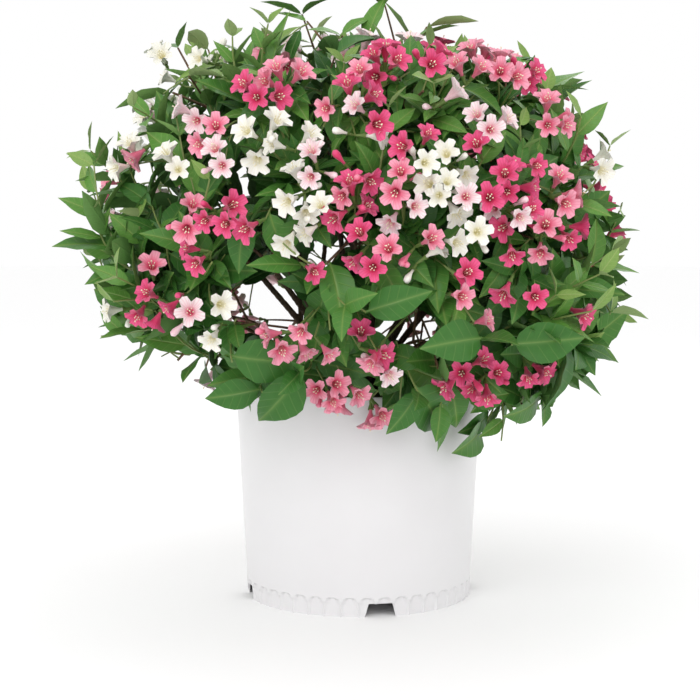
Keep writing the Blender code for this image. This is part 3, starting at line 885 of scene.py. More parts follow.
class Room:
    """A mass's share of the crown, off the pot and the limbs, and what it already holds."""

    def __init__(self, mass):
        others = np.array([other["site"] for other in masses if other is not mass])
        self.middles = (others + mass["site"]) / 2
        self.ways = (others - mass["site"]) / np.linalg.norm(others - mass["site"], axis=1)[:, None]
        self.starts = np.concatenate([limb["points"][:-1] for limb in limbs.values()])
        self.steps = np.concatenate([np.diff(limb["points"], axis=0) for limb in limbs.values()])
        self.radii = np.concatenate(
            [np.full(len(limb["points"]) - 1, LIMB_RADII[limb["tier"]][0]) for limb in limbs.values()]
        )
        self.taken = []

    def fits(self, points):
        """True if every point lies in this share of the crown and clear of the pot and the limbs."""
        if outline_share(points).max() > 1 or over_pot(points).any():
            return False
        past_middle = ((points[:, None] - self.middles) * self.ways).sum(2)
        if past_middle.max() > -SPACE_MARGIN:
            return False
        away = points[:, None] - self.starts
        share = ((away * self.steps).sum(2) / (self.steps**2).sum(1)).clip(0, 1)
        distance = np.linalg.norm(away - share[..., None] * self.steps, axis=2)
        return bool((distance > self.radii + LIMB_CLEARANCE).all())

    def spare(self, points):
        """The least distance from each set of points to what is already taken."""
        if not self.taken:
            return np.full(points.shape[:-2], math.inf)
        taken = np.concatenate(self.taken)
        squares = (points**2).sum(-1)[..., None] + (taken**2).sum(1) - 2 * points @ taken.T
        return np.sqrt(squares.min(axis=(-2, -1)).clip(0))


# %% Stem, twigs and heads
STEM_RADIUS = 0.0021
STEM_HEEL = 0.010
STEM_BENDS = 4
TWIG_RADIUS = 0.0014
TWIG_NODES = (0.28, 0.54, 0.80)
TWIG_ANGLE = 58
TWIG_ANGLE_JITTER = 8
TWIG_SPIN_JITTER = 0.3
TWIG_LENGTH = 0.099
TWIG_SHORTENING = 0.29
TWIG_LENGTH_RANGE = (0.85, 1.15)
TWIG_TRIES = (1.0, 0.85, 0.7, 0.55)
TWIG_PULL = {"low": -0.10, "mid": 0.18, "high": 0.35, "top": 0.45}
FLOWER_SHARE = 0.72
FLOWER_REACH = 0.040
FLOWER_RADIUS = 0.0230
FLOWER_TILT_RANGE = (6, 18)
LEAF_SPACING = 0.009


def flower_spots(root, aim):
    """Places on a flower's axis and round its rim."""
    mouth = root + aim * FLOWER_REACH
    outwards = [turned_from(aim, math.pi * index / LOBES, math.pi / 2) for index in range(2 * LOBES)]
    return np.array([(root + mouth) / 2, mouth, *(mouth + FLOWER_RADIUS * way for way in outwards)])


def add_head(heads, room, dice, first, reach, tries):
    """Adds the longest head that fits, with its flower if it has one and there is room for it."""
    way = unit(reach)
    roll = dice.uniform(0, math.pi)
    aim = turned_from(way, roll + math.pi / 2, math.radians(dice.uniform(*FLOWER_TILT_RANGE)))
    head = {"start": first, "way": way, "roll": roll, "aim": aim}
    for flowers in (True, False) if dice.random() < FLOWER_SHARE else (False,):
        for size in tries:
            end = first + reach * size
            bloom = flower_spots(end, aim)
            line = along_line(first + way * STEM_RADIUS * 2, end)
            if not room.fits(np.concatenate([line, bloom]) if flowers else line):
                continue
            if flowers and room.spare(bloom) < LEAF_SPACING:
                continue
            if flowers:
                room.taken.append(bloom)
            heads.append({**head, "end": end, "flowers": flowers})
            return


def grow_heads(mass, room):
    """The stem of a mass and its heads: the stem's own end, and pairs of twigs a quarter turn apart."""
    dice = random.Random(mass["seed"])
    limb_end, way = at_share(mass["limb"]["points"], 1)
    stem = heeled_bend(limb_end + way * GAP, way, STEM_HEEL, mass["tip"], STEM_BENDS + 1)
    roll = dice.uniform(0, math.pi)
    heads = []
    add_head(heads, room, dice, stem[-2], stem[-1] - stem[-2], (1.0,))
    for order, share in enumerate(TWIG_NODES):
        place, along = at_share(stem, share)
        for side in (0, math.pi):
            spin = roll + order * math.pi / 2 + side + dice.uniform(-1, 1) * TWIG_SPIN_JITTER
            angle = math.radians(TWIG_ANGLE + dice.uniform(-1, 1) * TWIG_ANGLE_JITTER)
            way = unit(turned_from(along, spin, angle) + np.array((0, 0, TWIG_PULL[mass["tier"]])))
            length = TWIG_LENGTH * (1 - TWIG_SHORTENING * share) * dice.uniform(*TWIG_LENGTH_RANGE)
            add_head(heads, room, dice, place, way * length, TWIG_TRIES)
    room.taken.extend(along_line(head["start"], head["end"]) for head in heads)
    return stem, heads


# %% The reach of each spray
LEAF_LENGTH = {"low": 0.094, "mid": 0.090, "high": 0.082, "top": 0.076}
LEAF_LENGTH_RANGE = (0.9, 1.1)
LEAF_WIDTH = 0.50
LEAF_WIDEST = 0.44
LEAF_THICKNESS = 0.0022
LEAF_ARCH = 0.05
LEAF_OPENING = 56
LEAF_TILTS = (0, -18, 18, -36, 34)
LEAF_TURNS = (0, 28, -28)
LEAF_SIZES = (1.0, 0.86, 0.72)
LEAF_ROOM = 0.026
LEAF_SINK = 0.0030
SPOT_RANGE = (0.18, 0.96)
SPOT_ROWS = 8
SPOT_SPREAD = 0.6
STEM_LEAF_NODES = (0.66, 0.40, 0.16)
TWIG_LEAF_NODE = 0.52
MOST_LEAVES = 14


def leaf_corners(leaf):
    """The root, the tip and the widest places of a broad leaf."""
    half = leaf["across"] * leaf["length"] * LEAF_WIDTH / 2
    thick = leaf["normal"] * LEAF_THICKNESS / 2
    waist = leaf["root"] + leaf["length"] * (leaf["along"] * LEAF_WIDEST + leaf["normal"] * LEAF_ARCH)
    tip = leaf["root"] + leaf["along"] * leaf["length"]
    return np.array((leaf["root"], tip, waist + half, waist - half, waist + thick, waist - thick))


def leaf_spots(leaf):
    """Places on its midrib and part way out to its edges."""
    shares = np.linspace(*SPOT_RANGE, SPOT_ROWS)
    width = np.minimum(shares / LEAF_WIDEST, (1 - shares) / (1 - LEAF_WIDEST))[:, None]
    middle = leaf["root"] + leaf["along"] * leaf["length"] * shares[:, None]
    edge = SPOT_SPREAD * width * leaf["across"] * leaf["length"] * LEAF_WIDTH / 2
    return np.concatenate([middle, middle + edge, middle - edge])


def tried_leaf(root, axis, spin, length, choice):
    """A broad leaf of one size and tilt, turned about its twig."""
    size, tilt, turn = choice
    along = turned_from(axis, spin + math.radians(turn), math.radians(LEAF_OPENING + tilt))
    normal = unit(axis - along * axis.dot(along))
    frame = {"along": along, "across": crossed(normal, along), "normal": normal}
    return {"root": root, "length": length * size, **frame}


def fit_leaf(root, axis, spin, length, room):
    """The broad leaf with the most space round it, of those that the mass has room for."""
    choices = list(itertools.product(LEAF_SIZES, LEAF_TILTS, LEAF_TURNS))
    tried = [tried_leaf(root, axis, spin, length, choice) for choice in choices]
    spots = np.array([leaf_spots(leaf) for leaf in tried])
    space = np.minimum(room.spare(spots), LEAF_ROOM)
    score = space * [choice[0] for choice in choices]
    for index in np.argsort(-score, kind="stable"):
        enough = space[index] >= LEAF_SPACING
        if enough and room.fits(np.concatenate([leaf_corners(tried[index]), spots[index]])):
            return tried[index]
    return None


def grow_reaches(mass, stem, heads, room):
    """Where the plain model has a broad leaf: at the heads, part way along the twigs, on the stem."""
    dice = random.Random(mass["seed"] + 1)
    places = [(head["end"] - head["way"] * LEAF_SINK, head["way"], head["roll"]) for head in heads]
    for head in heads[1:]:
        middle = head["start"] + (head["end"] - head["start"]) * TWIG_LEAF_NODE
        places.append((middle, head["way"], head["roll"] + math.pi / 2))
    places.extend((*at_share(stem, share), dice.uniform(0, math.pi)) for share in STEM_LEAF_NODES)
    found = []
    for root, axis, spin in places:
        for side in (0, math.pi):
            length = LEAF_LENGTH[mass["tier"]] * dice.uniform(*LEAF_LENGTH_RANGE)
            leaf = fit_leaf(root, axis, spin + side, length, room)
            if leaf and len(found) < MOST_LEAVES:
                room.taken.append(leaf_spots(leaf))
                found.append(leaf)
    return found


grown = []
for mass in masses:
    room = Room(mass)
    stem, heads = grow_heads(mass, room)
    reaches = grow_reaches(mass, stem, heads, room)
    grown.append({"mass": mass, "stem": stem, "heads": heads, "reaches": reaches})
print(sum(len(one["reaches"]) for one in grown), "sprays to grow")

# %% [markdown]
# ## Wood
#
# The boughs are tubes swept along the same lines as the plain limbs. They are joined to the root
# crown and remeshed to one skin, so that forks flow into each other, and then every corner is moved
# along its normal by a noise that is squeezed along Z, which raises the bark's fissures.

# %% Sweep tubes
TUBE_SHARPNESS = 60


def rings_along(points, radii, sides):
    """The corners of a tube, one ring to a point, each ring turned as little as possible."""
    steps = np.gradient(points, axis=0)
    ways = steps / np.linalg.norm(steps, axis=1)[:, None]
    side = turned_from(ways[0], 0, math.pi / 2)
    turns = np.linspace(0, math.tau, sides, endpoint=False)
    rings = []
    for point, way, radius in zip(points, ways, radii):
        side = unit(side - way * side.dot(way))
        other = np.cross(way, side)
        rings.append(point + radius * (np.cos(turns)[:, None] * side + np.sin(turns)[:, None] * other))
    return np.array(rings)


def tubes(name, lines, sides):
    """One mesh with a closed tube along each (points, radii)."""
    corners, faces, first = [], [], 0
    for points, radii in lines:
        rings = rings_along(points, radii, sides)
        corners.append(rings.reshape(-1, 3))
        last = first + (len(rings) - 1) * sides
        for base in range(first, last, sides):
            for side in range(sides):
                after = (side + 1) % sides
                faces.append((base + side, base + after, base + sides + after, base + sides + side))
        faces.append(tuple(range(first + sides - 1, first - 1, -1)))
        faces.append(tuple(range(last, last + sides)))
        first = last + sides
    mesh = bpy.data.meshes.new(name)
    mesh.from_pydata(np.concatenate(corners).tolist(), [], faces)
    mesh.shade_smooth()
    mesh.set_sharp_from_angle(angle=math.radians(TUBE_SHARPNESS))
    made = bpy.data.objects.new(name, mesh)
    scene.collection.objects.link(made)
    return made


def finer(points, count):
    """The same line through more points, on a smooth curve."""
    shares = np.linspace(0, len(points) - 1, count)
    rows = []
    for share in shares:
        index = min(int(share), len(points) - 2)
        part = share - index
        before, after = points[max(index - 1, 0)], points[min(index + 2, len(points) - 1)]
        here, there = points[index], points[index + 1]
        slope_here, slope_there = (there - before) / 2, (after - here) / 2
        cube, square = part**3, part**2
        rows.append(
            (2 * cube - 3 * square + 1) * here
            + (cube - 2 * square + part) * slope_here
            + (3 * square - 2 * cube) * there
            + (cube - square) * slope_there
        )
    return np.array(rows)


# %% Draw the root crown
CROWN_RINGS = (
    (0.036, 0.0),
    (0.031, 0.003),
    (0.027, 0.008),
    (0.0235, 0.015),
    (0.021, 0.022),
    (0.019, 0.029),
    (0.012, 0.034),
)
CROWN_SIDES = 40
ROOTS = 5
ROOT_WIDTH = 0.3
ROOT_HEIGHT = 0.016
ROOT_SWELL = 1.14


def on_root(place):
    """True for a corner low on one of the roots that start from the crown."""
    return place.z < MIX_TOP + ROOT_HEIGHT and math.cos(ROOTS * math.atan2(place.y, place.x)) > ROOT_WIDTH


foot = {"radius": CROWN_RINGS[0][0], "location": (0, 0, MIX_TOP)}
crown = start("circle", vertices=CROWN_SIDES, fill_type="NGON", **foot)
draw_up([(radius, MIX_TOP + height) for radius, height in CROWN_RINGS])
bpy.ops.mesh.edge_face_add()
pick(crown, on_root)
bpy.ops.transform.resize(value=(ROOT_SWELL, ROOT_SWELL, 1), center_override=(0, 0, MIX_TOP))
leave(crown, "root_crown_form")

# %% Join the boughs to it
BOUGH_SIDES = 14
BOUGH_STEP = 0.004
BARK_VOXEL = 0.0012
BARK_RELIEF = 0.00045
BARK_SQUEEZE = (420, 420, 90)
BARK_FINER = 2.3


def bough_lines():
    """The middle line and radii of each bough, from inside the wood that carries it."""
    lines = []
    for limb in limbs.values():
        base, tip = LIMB_RADII[limb["tier"]]
        points = np.concatenate([[limb["foot"]], limb["points"]])
        length = np.linalg.norm(np.diff(points, axis=0), axis=1).sum()
        points = finer(points, int(length / BOUGH_STEP))
        lines.append((points, np.linspace(base, tip, len(points))))
    return lines


def roughen(thing, squeeze, height):
    """Moves each corner along its normal by a noise that is squeezed by axis."""
    mesh = thing.data
    corners, normals = np.empty((2, len(mesh.vertices) * 3), np.float32)
    mesh.vertices.foreach_get("co", corners)
    mesh.vertices.foreach_get("normal", normals)
    spots = map(Vector, corners.reshape(-1, 3) * np.array(squeeze))
    raised = np.array([noise.noise(spot) + 0.5 * noise.noise(spot * BARK_FINER) for spot in spots])
    corners += normals * height * raised.repeat(3)
    mesh.vertices.foreach_set("co", corners)
    mesh.update()


boughs = tubes("woody_frame", bough_lines(), BOUGH_SIDES)
bpy.ops.object.select_all(action="DESELECT")
crown.select_set(True)
boughs.select_set(True)
bpy.context.view_layer.objects.active = boughs
bpy.ops.object.join()
boughs.data.remesh_voxel_size = BARK_VOXEL
bpy.ops.object.voxel_remesh()
add_modifier(boughs, "SMOOTH", iterations=2, factor=0.5)
roughen(boughs, BARK_SQUEEZE, BARK_RELIEF)
boughs.data.shade_smooth()
dress(boughs, "bark", "bark", "root_crown", *("limb_" + name for name in limbs))
print("wood", len(boughs.data.polygons), "faces")

# %% [markdown]
# ## One leaf, one flower, one bud
#
# Each is modelled once, standing on Z, in units of its own length. A leaf is a flattened ring of
# eight corners drawn up through the widths of the blade, so it has an upper side, a paler underside
# and a fine edge. It is folded, arched and twisted only when it is stamped. A flower is a trumpet
# drawn up on the outside and down again on the inside. Its five lobes come from scaling the rim's
# corners: those in the notches far in, those at the tips a little out.

# %% Draw a leaf
LEAF_ROWS = (
    (0.020, 0.00),
    (0.020, 0.05),
    (0.120, 0.11),
    (0.200, 0.22),
    (0.245, 0.36),
    (0.240, 0.50),
    (0.190, 0.66),
    (0.115, 0.80),
    (0.045, 0.92),
    (0.004, 1.00),
)
LEAF_CORNERS = 8
LEAF_HALF_WIDTH = max(half for half, height in LEAF_ROWS)
LEAF_FLATNESS = 0.014
MAP_HALF_WIDTH = 0.24


def map_leaf(corner, face, index):
    """The upper side in the left half of the map, the underside in the right half."""
    across = 0.25 + MAP_HALF_WIDTH * corner[0] / LEAF_HALF_WIDTH
    return (across + (0.5 if face.normal.y > 0 else 0), corner[2])


leaf = start("circle", vertices=LEAF_CORNERS, radius=LEAF_ROWS[0][0], fill_type="NGON")
draw_up(LEAF_ROWS)
bpy.ops.mesh.edge_face_add()
bpy.ops.mesh.select_all(action="SELECT")
bpy.ops.transform.resize(value=(1, LEAF_FLATNESS / LEAF_HALF_WIDTH, 1), center_override=(0, 0, 0))
leaf_pattern = Pattern(leave(leaf, "leaf_form"), map_leaf)
print("leaf", len(leaf_pattern.totals), "faces")

# %% Draw a flower
FLOWER_RINGS = (
    (0.050, 0.00),
    (0.075, 0.32),
    (0.230, 0.72),
    (0.530, 0.95),
    (0.210, 0.75),
    (0.050, 0.45),
)
FLOWER_MAP = (0.0, 0.16, 0.38, 0.54, 0.75, 0.94)
FLOWER_SIDES = 20
RIM_HEIGHT = FLOWER_RINGS[3][1]
LOBE_SIZES = (  # the notches, the shoulders and the tips
    {"size": 0.60, "nearest": 0, "furthest": 0.1},
    {"size": 0.97, "nearest": 0.1, "furthest": 0.9},
    {"size": 1.06, "nearest": 0.9, "furthest": 1.1},
)
TIP_DROP = -0.07


def on_rim(place, nearest, furthest):
    """True for a corner of the rim whose share of the way from a notch to a lobe's tip is in range."""
    turn = math.atan2(place.x, place.y) * LOBES / math.tau
    return abs(place.z - RIM_HEIGHT) < 0.01 and nearest <= abs(turn - round(turn)) * 2 < furthest


def map_flower(corner, face, index):
    """Round the flower, and from its foot up the outside and down the inside."""
    turn = math.atan2(corner[1], corner[0]) / math.tau
    middle = math.atan2(face.center.y, face.center.x) / math.tau
    turn += round(middle - turn)
    return (turn % 1 if face.loop_total > 4 else turn, FLOWER_MAP[index // FLOWER_SIDES])


flower = start("circle", vertices=FLOWER_SIDES, radius=FLOWER_RINGS[0][0], fill_type="NGON")
draw_up(FLOWER_RINGS)
bpy.ops.mesh.edge_face_add()
for part in LOBE_SIZES:
    pick(flower, lambda place: on_rim(place, part["nearest"], part["furthest"]))
    bpy.ops.transform.resize(value=(part["size"], part["size"], 1), center_override=(0, 0, 0))
bpy.ops.transform.translate(value=(0, 0, TIP_DROP))
flower_pattern = Pattern(leave(flower, "flower_form"), map_flower)
print("flower", len(flower_pattern.totals), "faces")

# %% Draw a bud, a calyx and the stamens
BUD_RINGS = ((0.06, 0.0), (0.07, 0.35), (0.17, 0.72), (0.15, 0.92), (0.03, 1.0))
CALYX_RINGS = ((0.05, -0.22), (0.075, -0.10), (0.065, 0.0), (0.10, 0.10), (0.13, 0.22), (0.05, 0.05))
BUD_MAP = 0.45
STAMEN_RINGS = ((0.010, 0.42), (0.010, 0.92), (0.028, 0.94), (0.028, 0.99), (0.006, 1.0))


def draw_form(name, rings, sides):
    """A closed round form through its rings."""
    foot = {"radius": rings[0][0], "location": (0, 0, rings[0][1])}
    form = start("circle", vertices=sides, fill_type="NGON", **foot)
    draw_up(rings)
    bpy.ops.mesh.edge_face_add()
    return leave(form, name)


def map_bud(corner, face, index):
    """A bud wears the colours of the outside of a petal."""
    return (0.5, BUD_MAP * min(1, max(0, corner[2])))


bud_pattern = Pattern(draw_form("bud_form", BUD_RINGS, 6), map_bud)
calyx_pattern = Pattern(draw_form("calyx_form", CALYX_RINGS, 5), plain_map)
stamen_pattern = Pattern(draw_form("stamen_form", STAMEN_RINGS, 4), plain_map)

# %% [markdown]
# ## Sprays
#
# A weigela carries its leaves in opposite pairs, each pair a quarter turn from the last, on arching
# side shoots. Every broad leaf of the plain model becomes such a shoot, as long as that leaf. A blade
# starts off along its stalk, with its face turned up and out to the light. It is shortened, or left
# out, where it would leave the outline. The outline isn't smooth: a noise makes bays and gaps in it.

# %% Rules for a blade
HEAD_NODES = (0.55, 0.8, 1)
HEAD_EDGE = 1.03
HEAD_TURN = 6
SPRAY_NODES = (0.16, 0.46)
SPRAY_SIZE = 0.9
SPRAY_RADII = (0.0011, 0.0007)
SIDE_BLADE = {"turn": 24, "size": 0.85}
SPRAY_SPREAD = 46
SPRAY_SPREAD_JITTER = 14
BLADE_LENGTH = {"low": 0.070, "mid": 0.065, "high": 0.060, "top": 0.055}
BLADE_LENGTH_RANGE = (0.74, 1.14)
BLADE_WIDTH = {"low": 1.02, "mid": 0.92, "high": 0.80, "top": 0.74}
BLADE_TRIES = (1.0, 0.86, 0.74)
BLADE_ARCH = (0.10, 0.80)
BLADE_FOLD = (0.10, 0.50)
BLADE_SWAY = 0.42
UP_PULL = 0.75
TIP_NODE = 0.40
EDGE_MIDDLE = 0.92
TOP_DROP = 0.12
SIDE_DROP = 0.34
BAY_SCALE = 12
BAY_DEPTH = 0.17
GAP_SCALE = 25
GAP_LIMIT = 0.29
BOX_SPARE = 0.018
SPRAY_MIDDLE = 0.7
SPRAY_LIFT = 0.2
SPRAY_POINTS = 5
TIP_BLADE = 1.12
TIP_BLADE_LIMIT = 1.1
LEAST_TURN = 0.15
SHADE_OUT = 1.9
SHADE_START = 0.62
SHADE_UP = 0.45
SHADE_JITTER = 0.34
SHADE_STEPS = ((0.10, "deep"), (0.52, "mid"), (0.80, "warm"), (1.04, "fresh"))
BLADE_LIFT = (-0.1, 0.25)
BLADE_WIDTH_JITTER = (0.9, 1.1)
BLADE_TWIST = (-0.5, 0.5)
BLADE_CHECK = 0.6
NODE_JITTER = (-0.2, 0.2)

leaves, twigs, shoots, blooms, buds = [], [], [], [], []
least_leaves = {}
box_low, box_high = np.array(cad_box[0]) - BOX_SPARE, np.array(cad_box[1]) + BOX_SPARE


def in_box(points):
    """True if every point keeps to the plain model's box, with a little to spare."""
    return bool(((points > box_low) & (points < box_high)).all())


def outward(place):
    """Away from the middle of the crown, where the light comes from."""
    half_size = np.array((CROWN_HALF_WIDTH, CROWN_HALF_DEPTH, CROWN_RISE))
    return unit((place - CROWN_CENTRE) / half_size + 1e-6)


def trim(way):
    """Low down on the left the crown stops short of the outline."""
    return 1 - SIDE_DROP * max(0, -way[0]) * max(0, -way[2])


def fullness(way):
    """The share of the outline that the crown fills in a direction."""
    return trim(way) - TOP_DROP * max(0, way[2]) ** 2


def edge_share(place):
    """How far out a leaf may reach here: the outline has shallow bays and is flatter on top."""
    bay = BAY_DEPTH * noise.noise(Vector(place * BAY_SCALE))
    return min(1.0, EDGE_MIDDLE * fullness(outward(place)) + bay)


def lit_side(aim, dice, light):
    """The way a blade faces: to the light, as far as its aim allows, with some sway."""
    normal = light - aim * light.dot(aim)
    if np.linalg.norm(normal) < LEAST_TURN:
        normal = turned_from(aim, dice.uniform(0, math.tau), math.pi / 2)
    normal = unit(unit(normal) + BLADE_SWAY * turned_from(aim, dice.uniform(0, math.tau), math.pi / 2))
    return unit(normal - aim * normal.dot(aim))


def add_blade(root, way, length, width, dice, shade, edge=None, arch=BLADE_ARCH):
    """One leaf that fits inside the outline, or inside a given edge of it."""
    if edge is None and noise.noise(Vector(root * GAP_SCALE)) > GAP_LIMIT:
        return
    limit = edge * trim(outward(root)) if edge else edge_share(root)
    light = unit(outward(root) + np.array((0, 0, UP_PULL)))
    aim = unit(way + light * dice.uniform(*BLADE_LIFT))
    normal = lit_side(aim, dice, light)
    bow = dice.uniform(*arch)
    for size in BLADE_TRIES:
        tip = root + aim * length * size - normal * length * size * bow * 0.5
        spots = np.array((root + (tip - root) * BLADE_CHECK, tip))
        if outline_share(spots).max() <= limit and in_box(spots) and not over_pot(spots).any():
            leaves.append(
                {
                    "root": root,
                    "frame": (crossed(aim, normal), -normal, aim),
                    "length": length * size,
                    "width": width * dice.uniform(*BLADE_WIDTH_JITTER),
                    "arch": bow,
                    "fold": dice.uniform(*BLADE_FOLD),
                    "twist": dice.uniform(*BLADE_TWIST),
                    "wave": dice.uniform(0, math.tau),
                    "shade": shade,
                    "shoot": len(shoots) - 1,
                }
            )
            return


def step_of(value, steps, last):
    """The name of the first step whose limit is above the value."""
    return next((name for limit, name in steps if value < limit), last)


def shade_of(place, dice):
    """Older leaves inside are deep green, those out in the light fresher, the highest lightest."""
    share = outline_share(place)[0]
    height = (place[2] - CROWN_CENTRE[2]) / CROWN_RISE
    score = SHADE_OUT * (share - SHADE_START) + SHADE_UP * max(0, height)
    return step_of(score + dice.uniform(-SHADE_JITTER, SHADE_JITTER), SHADE_STEPS, "young")


def add_pair(place, way, spin, tier, dice, shade, size=1.0, **rule):
    """Two leaves, one on each side of a shoot."""
    for side in (0, math.pi):
        spread = math.radians(SPRAY_SPREAD + dice.uniform(-1, 1) * SPRAY_SPREAD_JITTER)
        turned = turned_from(way, spin + side + dice.uniform(*NODE_JITTER), spread)
        length = BLADE_LENGTH[tier] * dice.uniform(*BLADE_LENGTH_RANGE) * size
        add_blade(place, turned, length, BLADE_WIDTH[tier], dice, shade, **rule)


def add_shoot(line, radii, least=0):
    """A shoot along a line, left out again if fewer than the least number of leaves stay on it."""
    least_leaves[len(shoots)] = least
    shoots.append((line, np.linspace(*radii, len(line))))


def grow_spray(reach, tier, dice):
    """A shoot as long as one broad leaf, with pairs of leaves and one at its tip."""
    root, along, normal, length = (reach[key] for key in ("root", "along", "normal", "length"))
    tip_place = root + along * length * TIP_NODE
    shade = shade_of(root + along * length * SPRAY_MIDDLE, dice)
    line = bend(root, unit(along + SPRAY_LIFT * normal), tip_place, SPRAY_POINTS)
    add_shoot(line, SPRAY_RADII, least=1)
    spin = dice.uniform(0, math.pi)
    for order, share in enumerate(SPRAY_NODES):
        place = root + along * length * TIP_NODE * share
        add_pair(place, along, spin + order * math.pi / 2, tier, dice, shade, SPRAY_SIZE)
    blade = min(length * (1 - TIP_NODE) * TIP_BLADE, BLADE_LENGTH[tier] * TIP_BLADE_LIMIT)
    add_blade(tip_place, along, blade, BLADE_WIDTH[tier], dice, shade)
    side = turned_from(along, spin, math.radians(SIDE_BLADE["turn"]))
    size = SIDE_BLADE["size"]
    add_blade(tip_place, side, blade * size, BLADE_WIDTH[tier] * size, dice, shade)


# %% Grow the twigs, with their leaves
STEM_POINTS = 12
TWIG_POINTS = 6
TWIG_LIFT = 0.05
TWIG_TAPER = (1.1, 0.75)
LEAF_SEED = 7


def grow_twigs(one):
    """The stem of a mass and the twigs that leave it."""
    stem = finer(one["stem"], STEM_POINTS)
    twigs.append((stem, np.linspace(STEM_RADIUS, TWIG_RADIUS, len(stem))))
    base, tip = TWIG_TAPER
    for head in one["heads"]:
        way = unit(head["way"] + np.array((0, 0, TWIG_LIFT)))
        line = bend(head["start"], way, head["end"], TWIG_POINTS)
        twigs.append((line, np.linspace(TWIG_RADIUS * base, TWIG_RADIUS * tip, len(line))))


def grow_leaves(one):
    """Pairs of leaves along each twig, and a spray for each broad leaf."""
    tier = one["mass"]["tier"]
    dice = random.Random(one["mass"]["seed"] + LEAF_SEED)
    for head in one["heads"]:
        shade = shade_of(head["end"], dice)
        for share in HEAD_NODES:
            place = head["start"] + (head["end"] - head["start"]) * share
            rule = {"edge": HEAD_EDGE} if share == 1 else {}
            add_pair(place, head["way"], head["roll"] + share * HEAD_TURN, tier, dice, shade, **rule)
    for reach in one["reaches"]:
        grow_spray(reach, tier, dice)


for one in grown:
    grow_twigs(one)
    grow_leaves(one)
twig_points = np.concatenate([line for line, _ in twigs])
twig_ways = np.concatenate([np.gradient(line, axis=0) for line, _ in twigs])
print(len(leaves), "leaves on", len(twigs), "twigs")

# %% [markdown]
# ## Flowering shoots
#
# On the side that the photograph shows, the clusters of flowers stand where it has them, in its own
# tints. Each row is the middle of a cluster, as a pixel of the 700 x 700 frame, and its number of
# flowers. The camera's sight through it meets the crown at one point, and a leafy shoot grows to that
# point from the nearest twig. The other sides have no picture, so there the clusters follow a spiral,
# equally dense, in the tints of the masses near by, with a few more where the flat top stays bare.

# %% Clusters in the photograph
FRAME_PIXELS = 700
SENSOR = 36
CLUSTERS_SEEN = {
    "white": (
        (152, 52, 2), (121, 157, 2), (166, 169, 2), (203, 48, 1), (257, 134, 3), (290, 143, 2),
        (300, 190, 3), (355, 126, 1), (422, 159, 1), (458, 159, 2), (449, 190, 4), (602, 160, 2),
        (295, 223, 2), (323, 219, 2), (199, 311, 1), (211, 333, 1), (114, 317, 1), (483, 236, 1),
        (443, 240, 1), (422, 267, 1),
    ),
    "blush": (
        (192, 107, 2), (214, 157, 2), (315, 165, 2), (496, 122, 3), (372, 107, 1), (519, 207, 2),
        (405, 203, 2), (379, 372, 1), (178, 324, 1), (471, 197, 1), (441, 96, 1), (226, 329, 1),
    ),
    "pink": (
        (207, 129, 2), (280, 77, 3), (338, 93, 2), (368, 73, 1), (475, 71, 3), (510, 66, 3),
        (560, 113, 3), (565, 193, 3), (405, 180, 2), (355, 183, 1), (175, 221, 2), (137, 286, 1),
        (266, 342, 1), (288, 342, 2), (308, 326, 1), (311, 348, 2), (322, 400, 3), (343, 396, 3),
        (372, 416, 2), (387, 351, 1), (397, 261, 1), (420, 249, 1), (472, 335, 1), (556, 236, 2),
        (452, 300, 1), (137, 133, 1),
    ),
    "rose": (
        (254, 86, 3), (387, 59, 4), (430, 55, 2), (351, 96, 3), (366, 113, 1), (401, 122, 1),
        (424, 145, 2), (529, 67, 2), (527, 84, 2), (473, 126, 2), (493, 153, 1), (516, 182, 4),
        (533, 159, 2), (498, 199, 2), (351, 166, 1), (355, 203, 2), (206, 211, 2), (228, 218, 1),
        (258, 218, 1), (199, 254, 2), (295, 266, 1), (132, 305, 1), (150, 309, 2), (173, 300, 1),
        (347, 221, 1), (370, 247, 2), (378, 268, 1), (464, 284, 1), (452, 270, 1), (521, 238, 3),
        (531, 219, 2), (573, 226, 3), (527, 278, 2), (542, 299, 1), (577, 312, 1), (359, 360, 2),
        (473, 383, 3), (496, 389, 3), (537, 372, 2),
    ),
}
LEADERS_SEEN = (
    (228, 18), (265, 5), (320, 40), (345, 50), (385, 28), (437, 65), (481, 46), (545, 62), (590, 100),
    (600, 122), (617, 150), (612, 262), (605, 300), (612, 352), (83, 150), (82, 200), (105, 265),
    (100, 290), (85, 345), (80, 135), (125, 90), (190, 42), (165, 372), (220, 385), (252, 428),
    (510, 457), (542, 439), (432, 345), (574, 283), (165, 215),
)
NEAREST_SIGHT = 1.6
FARTHEST_SIGHT = 2.4
SIGHT_STEPS = 401


def sight(across, down):
    """The direction in which the camera sees a pixel of the photograph."""
    half = FRAME_PIXELS / 2
    local = Vector((across - half, half - down, -FRAME_PIXELS * LENS / SENSOR))
    return unit(np.array(camera.rotation_euler.to_matrix() @ local))


def seen_place(across, down, share):
    """The nearest point in sight that lies this far out in the crown, or else the one furthest in."""
    steps = np.linspace(NEAREST_SIGHT, FARTHEST_SIGHT, SIGHT_STEPS)[:, None]
    points = np.array(CAMERA_PLACE) + sight(across, down) * steps
    shares = outline_share(points)
    inside = np.flatnonzero(shares <= share)
    return points[inside[0] if len(inside) else shares.argmin()]


